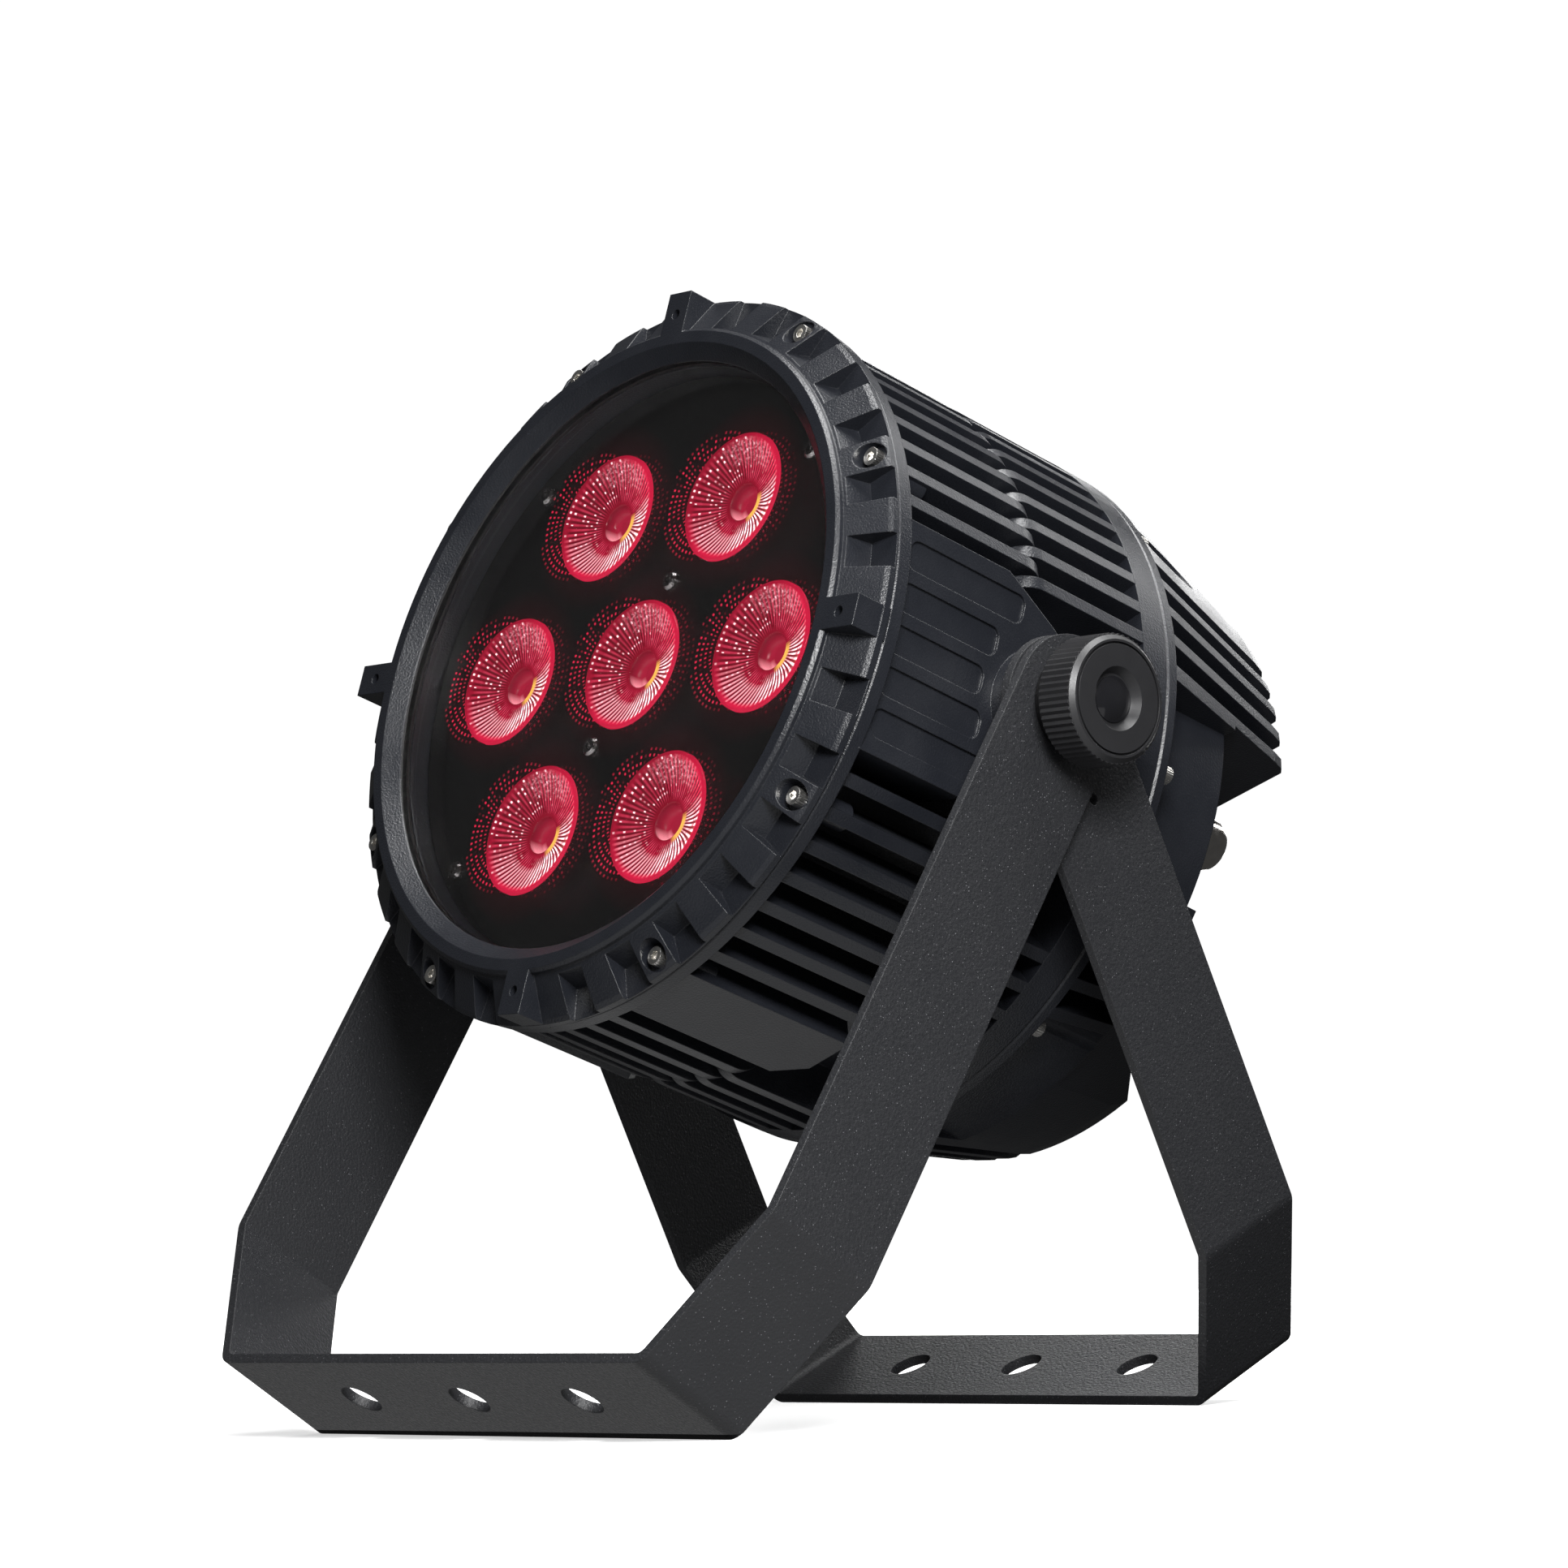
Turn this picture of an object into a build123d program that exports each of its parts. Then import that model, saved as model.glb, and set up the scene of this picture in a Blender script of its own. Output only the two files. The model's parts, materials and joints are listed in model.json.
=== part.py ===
"""Par can light: a finned die-cast head with seven lensed LEDs, carried between the
arms of two folding U-shaped floor brackets and clamped by two side knobs.

Units are millimetres. The head is modelled in its own frame: X to the right, Y up and
Z forward along the beam, with the tilt axis through the origin. Each bracket is
modelled hanging straight down from the tilt axis. Everything is then turned to its
rest pose and stood on the floor, Z up, beam towards -Y.
"""
import math
import os

from build123d import *

# ---------------------------------------------------------------- pose
TILT = 19.2                     # beam above the horizontal
FRONT_SPLAY = 33.9              # front bracket, forward of vertical
REAR_SPLAY = 24.6               # rear bracket, behind vertical
AXIS_HEIGHT = 200.0             # tilt axis above the floor

# ---------------------------------------------------------------- cutting tools
PAST = 1.0                      # how far a cut runs past the face it opens
WELL_PAST = 4.0
FAR = 300.0                     # size of a tool that covers the whole object
SAME_POINT = 0.01

# ---------------------------------------------------------------- front bezel
FACE_Z = 76.3
RING_R = 100.0
RING_FOOT_Z = 74.0
RING_CHAMFER = 1.0
BEVEL_TOP_R = 95.5
APERTURE_R = 91.0
LIP_Z = 72.3
RIM_R = 112.5
RIM_TOP_Z = 66.6
CROWN_END_R = 111.3
CROWN_END_Z = 67.6
SEAM_Z = 63.8
GLASS_POCKET_R = 96.6
DIVISIONS = 32
POCKET_ANGLE = 5.5
POCKET_PROFILE = ((100.3, 76.0), (103.0, 65.7), (112.0, 65.1), (114.5, 65.1), (114.5, 76.0))
LUG_WIDTH = 9.6
LUG_OUTER_R = 112.3
LUG_INNER_R = 98.0
LUG_HOLE_R = 105.2
LUG_HOLE_RADIUS = 1.6
LUG_HOLE_DEPTH = 8.0
BEZEL_SCREW_R = 107.6
BEZEL_SCREW_OFFSET = 28.125     # each side of every lug
BEZEL_SCREW_LEN = 14.0
COUNTERBORE_RADIUS = 4.3
COUNTERBORE_Z = 66.2

# ---------------------------------------------------------------- M3 socket cap screws
M3_HEAD_R = 2.75
M3_HEAD_H = 3.0
M3_SHANK_R = 1.5
M3_TAP_R = 1.55
M3_CLEAR_R = 1.75
M3_SOCKET_R = 1.45
M3_SOCKET_DEPTH = 1.6
KNURL_TEETH = 24
KNURL_DEPTH = 0.12
LOW_HEAD_H = 1.8
LOW_SOCKET_R = 1.3
LOW_SOCKET_FLOOR = 0.7
PAN_HEAD_H = 2.0

# ---------------------------------------------------------------- glass and gasket
GLASS_R = 95.4
GLASS_FRONT_Z = 71.3
GLASS_T = 4.0
GASKET_LIP = 1.0
GASKET_INNER_R = 91.6
GASKET_OUTER_R = 96.4

# ---------------------------------------------------------------- optics
LENS_R = 20.0
LENS_PITCH = 57.0
LENS_COUNT = 6                  # round the centre one
LENS_FACE_Z = 60.4
LENS_RIM_T = 2.6
LENS_RIM_W = 1.2
LENS_RIM_STEP = 1.4
LENS_BASE_Z = 41.6
LENS_BASE_R = 7.0
LENS_BORE_R = 6.2
LENS_BORE_DEPTH = 8.0
LENS_BORE_LIP = 1.0
LENS_DISH_DEPTH = 1.6
LENS_CAVITY_R = 4.6
LENS_CAVITY_DEPTH = 5.0
MASK_FRONT_Z = 60.0
MASK_T = 1.5
MASK_R = 90.4
MASK_HOLE_R = 20.25
MASK_OUTER_SCREW_R = 85.0
MASK_INNER_SCREW = (9.4, 25.0)
MASK_SCREW_HEAD_R = 3.0
MASK_SCREW_HEAD_H = 1.6
MASK_SCREW_LEN = 8.0
MASK_SCREW_CHAMFER = 0.8
MASK_SOCKET_FLOOR = 0.4
MASK_POST_R = 2.6
HOLDER_T = 1.2
HOLDER_TOP_Z = 56.6
HOLDER_GAP = 0.25
LED_BOARD_Z = 38.0
LED_BOARD_T = 2.0
LED_BOARD_R = 89.6
LED_SIZE = 5.2
LED_T = 0.9
LED_DOME_R = 2.2
BOARD_SCREW_R = 73.0
BOARD_SCREW_START = 30
BOARD_SCREW_LEN = 7.0
BOARD_TAP_DEPTH = 5.2

# ---------------------------------------------------------------- housing
FIN_R = 109.5
FIN_T = 3.9
FIN_STEP = 5.625
CORE_R = 94.5
FIN_ROOT_R = 93.0
FLANGE_R = 111.8
FLANGE_BACK_Z = 58.9
NOSE_R = 96.2
NOSE_Z = 66.3
CHAMBER_R = 91.0
BULKHEAD_BACK_Z = 32.0
REAR_CHAMBER_R = 88.5
REAR_FLANGE_R = 109.6
REAR_FLANGE_Z = -38.0
REAR_SEAM_Z = -48.3
SEAM_CHAMFER = 0.7
FIN_A_TIP_Z = -1.5
FIN_A_ROUND = 11.0
FIN_B_START_Z = 12.0
FIN_B_ROUND = 9.0
TOP_FIN_FROM = 22.5
TOP_FIN_TO = 157.5
BOTTOM_FIN_FROM = -101.25
BOTTOM_FIN_TO = -78.75
SIDE_RIB_FROM = -56.25
SIDE_RIB_TO = -22.5
SHORT_RIBS = (-22.5, -28.125)
SHORT_RIB_END_Z = 5.0
BOSS_FIN_SPREAD = 14.0625       # fins behind each tilt boss
BOSS_FIN_START_Z = -20.0
COVER_TAP_DEPTH = 12.0
SCREW_BOSS_R = 4.2
SCREW_BOSS_LEN = 11.0
BOSS_RING_R = 104.6
LOWER_PAD_ANGLE = -67.0
LOWER_PAD_HALF = 12.2
LOWER_PAD_R = 110.4
LOWER_PAD_ROOT_R = 88.5
LOWER_PAD_END_Z = -4.0
LOWER_PAD_CLIP = 8.0

# ---------------------------------------------------------------- side pads and tilt bosses
PAD_X = 106.6
PAD_ROOT_X = 86.0
PAD_OUTLINE = ((34.3, 59.5), (34.3, 19.8), (24.6, -1.2), (15.0, -15.0),
               (-15.0, -15.0), (-24.6, -1.2), (-34.3, 19.8), (-34.3, 59.5))
CHANNEL_V = (25.0, 12.5, 0.0, -12.5, -25.0)
CHANNEL_END_Z = (11.5, 18.5, 21.0, 18.5, 11.5)
CHANNEL_START_Z = 57.0
CHANNEL_WIDTH = 8.6
CHANNEL_DEPTH = 0.9
CHANNEL_ROUND = 3.0
CHANNEL_BOSS_GAP = 1.5
TILT_BOSS_R = 17.0
TILT_BOSS_X = 112.0
INSERT_R = 6.0
INSERT_X = 97.5

# ---------------------------------------------------------------- pivot stack, from the boss out
STUD_R = 4.0
BORE_R = 4.05
STUD_START_X = 99.0
STUD_END_X = 134.5
STUD_CHAMFER = 0.8
STUD_ROOM = 0.6
STUD_END_ROOM = 0.8
WASHER_R = 17.0
FRICTION_T = 1.6
GAP = 0.3
BRACKET_T = 3.0
SPACER_T = 1.0
PRESSURE_T = 1.5
PRESSURE_R = 14.0
REAR_ARM_X = TILT_BOSS_X + FRICTION_T + GAP
SPACER_X = REAR_ARM_X + BRACKET_T + GAP
FRONT_ARM_X = SPACER_X + SPACER_T
PRESSURE_X = FRONT_ARM_X + BRACKET_T + GAP
KNOB_X = PRESSURE_X + PRESSURE_T + GAP

# ---------------------------------------------------------------- knob
KNOB_R = 18.6
KNOB_FACE_X = 140.5
KNOB_COLLAR_R = 12.5
KNOB_COLLAR_LEN = 3.0
KNOB_TEETH = 60
KNOB_TOOTH_DEPTH = 0.55
KNOB_BAND = 1.3
KNOB_BACK_CHAMFER = 0.8
KNOB_GROOVE_R = 15.7
KNOB_GROOVE_W = 0.7
KNOB_GROOVE_DEPTH = 0.8
KNOB_DISH_R = 9.1
KNOB_DISH_DEPTH = 2.6
KNOB_DISH_SLOPE = 1.8
NUT_R = 6.5
NUT_LEN = 8.0
CAP_R = 6.6
CAP_HEIGHT = 2.3
CAP_RIM = 0.4

# ---------------------------------------------------------------- brackets
STRIP_W = 40.0
FRONT_BEND_DROP = 180.0
REAR_BEND_DROP = 163.5
FOOT_HALF = 95.0
BEND_OUTER_R = 6.0
BEND_INNER_R = 3.0
FOOT_HOLE_R = 6.5
FOOT_HOLE_PITCH = 50.0
ARM_HOLE_R = 1.6
ARM_HOLE_DROP = 28.9

# ---------------------------------------------------------------- rear cover
COVER_FRONT_R = 109.5
COVER_RIM_Z = -52.0
COVER_END_R = 94.2
COVER_END_Z = -116.0
COVER_FLOOR_R = 89.5
COVER_INNER_R = 85.0
COVER_WALL = 3.5
COVER_END_SLOPE = (1.5, 6.0)
COVER_END_EDGE = 1.5
DECK_WALL = 8.0                 # no hole through the deck is deeper
PATCH_R = 96.9
PATCH_ANGLE = 15.3
RECESS_Z = -86.2
RECESS_TOP = ((130.0, 40.1), (40.0, 6.8))
RECESS_LOW = ((52.6, -77.8, -116.0), (68.1, -69.8, -101.2), (30.0, -70.0, -116.0))
COVER_SIDE_FINS = (16.875, 22.5, 28.125, 33.75, 39.375)
COVER_LOW_FIN_SHIFT = 1.75
COVER_LOW_FIN_END_Z = -80.5
COVER_STEP_R = 103.0
COVER_STEP_FROM = -76.0
COVER_STEP_TO = -42.2
COVER_TOP_FINS = (78.75, 84.375, 90.0, 95.625, 101.25)
FACET_NORMAL = (0.666, -0.705, -0.246)
FACET_POINT = (79.7, -64.3, -81.5)
COVER_SCREW_R = 106.6
COVER_SCREW_POCKET_R = 4.0
COVER_SCREW_LEN = 14.0
SEAL_OUTER_R = 93.0
SEAL_INNER_R = 90.5
SEAL_HALF = 0.9
SEAM_SIDE = -130.0              # side recess runs out past the cover here

# ---------------------------------------------------------------- rear deck fittings
WINDOW_V = 22.0
WINDOW_W = 52.0
WINDOW_H = 24.0
WINDOW_T = 1.5
WINDOW_LEDGE = 2.5
WINDOW_GAP = 0.2
WINDOW_SEAT = 0.3
BUTTON_V = -6.0
BUTTON_PITCH = 16.0
BUTTON_R = 4.4
BUTTON_HOLE_R = 4.45
BUTTON_PROUD = 1.4
BUTTON_FLANGE_R = 5.6
BUTTON_FLANGE_T = 1.0
BUTTON_COUNT = 4
BUTTON_CHAMFER = 0.4
STEM_R = 1.6
STEM_LEN = 3.2
STEM_TRAVEL = 1.0
GLAND_SPOTS = ((75.0, -1.0), (64.0, -36.0))
GLAND_R = 8.3
GLAND_DROP = 22.5
GLAND_HEX_R = 9.2
GLAND_HEX_T = 5.0
GLAND_NECK_END = 12.0
GLAND_TAIL = 7.0
GLAND_SEAL_T = 1.4
GLAND_SEAL_GAP = 0.1
GLAND_SEAL_LEN = (11.5, 2.0)
GLAND_NUT_GAP = 0.4
GLAND_NUT_EDGES = ((4.5, 0.0), (1.8, 1.2), (0.0, 3.2))
THREAD_GAP = 0.05
GLAND_BORE_R = 3.5
GLAND_THREAD_R = 6.0
BREATHER_SPOT = (52.0, -12.0)
BREATHER_R = 5.0
BREATHER_HEAD_H = 3.2
BREATHER_CHAMFER = 0.8
BREATHER_HOLE_R = 3.0
BREATHER_STEM = 6.0
EYE_V = -58.0
EYE_WIDTH = 37.0
EYE_SCREW_X = 14.0
EYE_FOOT = 11.0
EYE_T = 2.5
EYE_BORE_R = 5.0
EYE_RIM = 4.5
EYE_CENTRE_RISE = 8.0
EYE_SCREW_LEN = 5.5

# ---------------------------------------------------------------- electronics
DRIVER_SIZE = (118.0, 96.0, 1.6)
DRIVER_Z = 20.0
DRIVER_POST = (52.0, 41.0)
POST_R = 3.0
POST_INSET = 4.0
CAP_SPOTS = ((-40.0, 28.0), (-40.0, 8.0), (42.0, 30.0))
DRIVER_CAP_R = 8.0
DRIVER_CAP_H = 30.0
CAN_CHAMFER = 0.8
TRANSFORMER_SIZE = (38.0, 32.0, 26.0)
TRANSFORMER_V = 12.0
COIL_PROUD = 1.5
COIL_END = 8.0
CONTROL_SIZE = (66.0, 70.0, 1.6)
CONTROL_Z = -98.0
CONTROL_V = 8.0
CONTROL_SCREW_LEN = 8.0
DISPLAY_SIZE = (46.0, 19.0, 5.0)
DISPLAY_GAP = 2.4
HEADER_INSET = 6.0
HEADER_W = 4.0
SWITCH_SIZE = 6.0
SWITCH_NECK = 1.2


# ================================================================ helpers
def disc(radius, z0, z1):
    """Solid disc on the Z axis between two heights."""
    upright = (Align.CENTER, Align.CENTER, Align.MIN)
    return Pos(0, 0, min(z0, z1)) * Cylinder(radius, abs(z1 - z0), align=upright)


def tube(r_out, r_in, z0, z1):
    """Ring on the Z axis between two heights."""
    return disc(r_out, z0, z1) - disc(r_in, min(z0, z1) - PAST, max(z0, z1) + PAST)


def rod(radius, x0, x1):
    """Round bar along X between two stations."""
    return Rot(0, 90, 0) * disc(radius, x0, x1)


def block(size, centre):
    """Box about a centre point."""
    return Pos(*centre) * Box(*size)


def polar(radius, angle, z=0.0):
    """Location at a radius and angle, with its X axis pointing outwards."""
    return Rot(0, 0, angle) * Pos(radius, 0, z)


def radial_plate(points, thickness, round_at=None, round_r=0.0):
    """Flat plate in the plane of the beam axis, from (radius, z) points."""
    face = make_face(Plane.XZ * Polyline(*points, close=True))
    if round_at is not None:
        corner = [v for v in face.vertices() if abs(v.X - round_at[0]) + abs(v.Z - round_at[1]) < SAME_POINT]
        face = fillet(corner, round_r)
    return extrude(face, amount=thickness / 2, both=True)


def turned(points, angle=360.0, start=0.0):
    """Solid turned about the Z axis from (radius, z) points."""
    face = make_face(Plane.XZ * Polyline(*points, close=True))
    return Rot(0, 0, start) * revolve(face, Axis.Z, angle)


def star(radius, teeth, depth):
    """Fluted outline with one point per tooth."""
    points = []
    for i in range(2 * teeth):
        r = radius - (depth if i % 2 else 0.0)
        a = math.pi * i / teeth
        points.append((r * math.cos(a), r * math.sin(a)))
    return make_face(Polyline(*points, close=True))


def merged(shapes):
    """One body from overlapping pieces."""
    first = shapes[0]
    return first.fuse(*shapes[1:]) if len(shapes) > 1 else first


def group(shapes):
    """Separate bodies kept together as one item."""
    return Compound([solid for shape in shapes for solid in shape.solids()])


def angles(start, stop, step=FIN_STEP):
    """Evenly spaced angles from start to stop, ends included."""
    return [start + step * i for i in range(int(round((stop - start) / step)) + 1)]


def both_sides(shape):
    """A right-hand piece and its mirrored left-hand twin."""
    return [shape, mirror(shape, Plane.YZ)]


def cap_screw(z_seat, length, up=1):
    """Knurled socket cap screw; the head rises from z_seat towards up."""
    head = extrude(star(M3_HEAD_R, KNURL_TEETH, KNURL_DEPTH), amount=M3_HEAD_H)
    socket = extrude(RegularPolygon(M3_SOCKET_R, 6), amount=M3_SOCKET_DEPTH)
    screw = head - Pos(0, 0, M3_HEAD_H - M3_SOCKET_DEPTH) * socket + disc(M3_SHANK_R, -length, 0)
    if up < 0:
        screw = Rot(180, 0, 0) * screw
    return Pos(0, 0, z_seat) * screw


def low_screw(seat, length):
    """Low round-headed hexagon socket screw, its head on top of the seat."""
    socket = Pos(0, 0, seat + LOW_SOCKET_FLOOR) * extrude(RegularPolygon(LOW_SOCKET_R, 6), amount=LOW_HEAD_H)
    return disc(M3_HEAD_R, seat, seat + LOW_HEAD_H) - socket + disc(M3_SHANK_R, seat - length, seat)


def quarter_spots(x, y):
    """The four points at plus and minus x and y."""
    return [(side * x, level * y) for side in (-1, 1) for level in (-1, 1)]


# ================================================================ front of the head
def bezel_screw_angles():
    return [lug + side * BEZEL_SCREW_OFFSET for lug in (0, 90, 180, 270) for side in (-1, 1)]


def lens_spots():
    ring = [(LENS_PITCH * math.cos(math.radians(a)), LENS_PITCH * math.sin(math.radians(a)))
            for a in range(0, 360, 360 // LENS_COUNT)]
    return [(0.0, 0.0)] + ring


def mask_screw_spots():
    corner = MASK_OUTER_SCREW_R / math.sqrt(2)
    x, y = MASK_INNER_SCREW
    return quarter_spots(corner, corner) + [(x, y), (-x, -y)]


def front_bezel():
    ring = turned([(APERTURE_R, LIP_Z), (BEVEL_TOP_R, FACE_Z), (RING_R - RING_CHAMFER, FACE_Z),
                   (RING_R, FACE_Z - RING_CHAMFER), (RING_R, RING_FOOT_Z), (CROWN_END_R, CROWN_END_Z),
                   (RIM_R, RIM_TOP_Z), (RIM_R, SEAM_Z + SEAM_CHAMFER), (RIM_R - SEAM_CHAMFER, SEAM_Z),
                   (GLASS_POCKET_R, SEAM_Z), (GLASS_POCKET_R, LIP_Z)])
    step = 360.0 / DIVISIONS
    cuts = []
    for i in range(DIVISIONS):
        if i % (DIVISIONS // 4):
            cuts.append(turned(POCKET_PROFILE, POCKET_ANGLE, i * step - POCKET_ANGLE / 2))
    for a in bezel_screw_angles():
        cuts.append(polar(BEZEL_SCREW_R, a) * disc(COUNTERBORE_RADIUS, COUNTERBORE_Z, FACE_Z + PAST))
        cuts.append(polar(BEZEL_SCREW_R, a) * disc(M3_CLEAR_R, SEAM_Z - PAST, FACE_Z))
    ring = ring.cut(*cuts)
    lugs = []
    holes = []
    for a in (0, 90, 180, 270):
        length = LUG_OUTER_R - LUG_INNER_R
        lugs.append(polar(LUG_INNER_R + length / 2, a, (FACE_Z + SEAM_Z) / 2)
                    * Box(length, LUG_WIDTH, FACE_Z - SEAM_Z))
        holes.append(polar(LUG_HOLE_R, a) * disc(LUG_HOLE_RADIUS, FACE_Z - LUG_HOLE_DEPTH, FACE_Z + PAST))
    return ring.fuse(*lugs).cut(*holes)


def bezel_screws():
    screw = cap_screw(COUNTERBORE_Z, BEZEL_SCREW_LEN)
    return group([polar(BEZEL_SCREW_R, a) * screw for a in bezel_screw_angles()])


def glass_gasket():
    back = GLASS_FRONT_Z - GLASS_T
    return turned([(GASKET_INNER_R, LIP_Z), (GASKET_OUTER_R, LIP_Z), (GASKET_OUTER_R, back - GASKET_LIP),
                   (GASKET_INNER_R, back - GASKET_LIP), (GASKET_INNER_R, back), (GLASS_R, back),
                   (GLASS_R, GLASS_FRONT_Z), (GASKET_INNER_R, GLASS_FRONT_Z)])


def front_glass():
    return disc(GLASS_R, GLASS_FRONT_Z - GLASS_T, GLASS_FRONT_Z)


def lens_mask():
    plate = disc(MASK_R, MASK_FRONT_Z - MASK_T, MASK_FRONT_Z)
    holes = [Pos(x, y, 0) * disc(MASK_HOLE_R, 0, FACE_Z) for x, y in lens_spots()]
    holes += [Pos(x, y, 0) * disc(M3_CLEAR_R, 0, FACE_Z) for x, y in mask_screw_spots()]
    return plate.cut(*holes)


def mask_screws():
    head = disc(MASK_SCREW_HEAD_R, MASK_FRONT_Z, MASK_FRONT_Z + MASK_SCREW_HEAD_H)
    head = chamfer(head.edges().sort_by(Axis.Z)[-1], MASK_SCREW_CHAMFER)
    socket = extrude(RegularPolygon(LOW_SOCKET_R, 6), amount=MASK_SCREW_HEAD_H)
    shank = disc(M3_SHANK_R, MASK_FRONT_Z - MASK_SCREW_LEN, MASK_FRONT_Z)
    screw = head + shank - Pos(0, 0, MASK_FRONT_Z + MASK_SOCKET_FLOOR) * socket
    return group([Pos(x, y, 0) * screw for x, y in mask_screw_spots()])


def mask_standoffs():
    top = MASK_FRONT_Z - MASK_T
    post = tube(MASK_POST_R, M3_TAP_R, LED_BOARD_Z + LED_BOARD_T, top)
    return group([Pos(x, y, 0) * post for x, y in mask_screw_spots()])


def lens_flank_radius(z):
    """Outer radius of the lens below its rim."""
    rim_z = LENS_FACE_Z - LENS_RIM_T
    part = (z - LENS_BASE_Z) / (rim_z - LENS_BASE_Z)
    return LENS_BASE_R + (LENS_R - LENS_RIM_STEP - LENS_BASE_R) * part


def tir_lenses():
    rim_z = LENS_FACE_Z - LENS_RIM_T
    dish_z = LENS_FACE_Z - LENS_DISH_DEPTH
    floor_z = dish_z - LENS_BORE_DEPTH
    cavity_z = LENS_BASE_Z + LENS_CAVITY_DEPTH
    body = turned([(0, cavity_z), (LENS_CAVITY_R, cavity_z), (LENS_CAVITY_R, LENS_BASE_Z),
                   (LENS_BASE_R, LENS_BASE_Z), (lens_flank_radius(rim_z), rim_z), (LENS_R, rim_z),
                   (LENS_R, LENS_FACE_Z), (LENS_R - LENS_RIM_W, LENS_FACE_Z),
                   (LENS_BORE_R + LENS_BORE_LIP, dish_z),
                   (LENS_BORE_R, floor_z), (0, floor_z)])
    return group([Pos(x, y, 0) * body for x, y in lens_spots()])


def lens_holders():
    base_z = LED_BOARD_Z + LED_BOARD_T
    r_low = lens_flank_radius(LENS_BASE_Z) + HOLDER_GAP
    r_top = lens_flank_radius(HOLDER_TOP_Z) + HOLDER_GAP
    cup = turned([(r_low, base_z), (r_low + 2 * HOLDER_T, base_z), (r_top + HOLDER_T, HOLDER_TOP_Z),
                  (r_top, HOLDER_TOP_Z), (r_low, LENS_BASE_Z)])
    return group([Pos(x, y, 0) * cup for x, y in lens_spots()])


def board_screw_spots():
    return [(BOARD_SCREW_R * math.cos(math.radians(a)), BOARD_SCREW_R * math.sin(math.radians(a)))
            for a in range(BOARD_SCREW_START, BOARD_SCREW_START + 360, 360 // LENS_COUNT)]


def led_board():
    plate = disc(LED_BOARD_R, LED_BOARD_Z, LED_BOARD_Z + LED_BOARD_T)
    holes = [Pos(x, y, 0) * disc(M3_CLEAR_R, 0, FACE_Z) for x, y in board_screw_spots()]
    return plate.cut(*holes)


def led_emitters():
    base = LED_BOARD_Z + LED_BOARD_T
    chip = block((LED_SIZE, LED_SIZE, LED_T), (0, 0, base + LED_T / 2))
    dome = Pos(0, 0, base + LED_T) * Sphere(LED_DOME_R) & disc(LED_DOME_R + PAST, base + LED_T / 2, FACE_Z)
    return group([Pos(x, y, 0) * (chip + dome) for x, y in lens_spots()])


def led_board_screws():
    screw = low_screw(LED_BOARD_Z + LED_BOARD_T, BOARD_SCREW_LEN)
    return group([Pos(x, y, 0) * screw for x, y in board_screw_spots()])


# ================================================================ housing
def front_fin():
    points = [(FIN_ROOT_R, FLANGE_BACK_Z), (FIN_R, FLANGE_BACK_Z), (FIN_R, FIN_A_TIP_Z),
              (FIN_ROOT_R, FIN_A_TIP_Z)]
    return radial_plate(points, FIN_T, (FIN_R, FIN_A_TIP_Z), FIN_A_ROUND)


def rear_fin(start_z=FIN_B_START_Z):
    points = [(FIN_ROOT_R, REAR_FLANGE_Z), (FIN_R, REAR_FLANGE_Z), (FIN_R, start_z), (FIN_ROOT_R, start_z)]
    return radial_plate(points, FIN_T, (FIN_R, start_z), FIN_B_ROUND)


def long_rib(end_z=REAR_FLANGE_Z):
    points = [(FIN_ROOT_R, FLANGE_BACK_Z), (FIN_R, FLANGE_BACK_Z), (FIN_R, end_z), (FIN_ROOT_R, end_z)]
    return radial_plate(points, FIN_T)


def fin_set():
    fins = []
    front = front_fin()
    rear = rear_fin()
    for a in angles(TOP_FIN_FROM, TOP_FIN_TO) + angles(BOTTOM_FIN_FROM, BOTTOM_FIN_TO):
        fins.append(Rot(0, 0, a) * front)
    half = FIN_STEP / 2
    between = angles(TOP_FIN_FROM - half, TOP_FIN_TO + half)
    between += angles(BOTTOM_FIN_FROM + half, BOTTOM_FIN_TO - half)
    for a in between:
        fins.append(Rot(0, 0, a) * rear)
    behind_boss = rear_fin(BOSS_FIN_START_Z)
    for a in angles(-BOSS_FIN_SPREAD, BOSS_FIN_SPREAD):
        fins.append(Rot(0, 0, a) * behind_boss)
        fins.append(Rot(0, 0, a + 180) * behind_boss)
    full = long_rib()
    short = long_rib(SHORT_RIB_END_Z)
    for a in angles(SIDE_RIB_FROM, SIDE_RIB_TO):
        rib = short if a in SHORT_RIBS else full
        fins.append(Rot(0, 0, a) * rib)
        fins.append(Rot(0, 0, 180 - a) * rib)
    return fins


def side_pad():
    outline = make_face(Plane.YZ * Polyline(*PAD_OUTLINE, close=True))
    pad = Pos(PAD_ROOT_X, 0, 0) * extrude(outline, amount=PAD_X - PAD_ROOT_X, dir=(1, 0, 0))
    pad = pad + rod(TILT_BOSS_R, PAD_ROOT_X, TILT_BOSS_X)
    for v, end in zip(CHANNEL_V, CHANNEL_END_Z):
        length = CHANNEL_START_Z - end
        sketch = Plane.YZ * Pos(v, end + length / 2) * RectangleRounded(CHANNEL_WIDTH, length, CHANNEL_ROUND)
        channel = Pos(PAD_X - CHANNEL_DEPTH, 0, 0) * extrude(sketch, amount=CHANNEL_DEPTH + PAST)
        pad = pad - (channel - rod(TILT_BOSS_R + CHANNEL_BOSS_GAP, PAD_ROOT_X, TILT_BOSS_X))
    return pad


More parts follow.
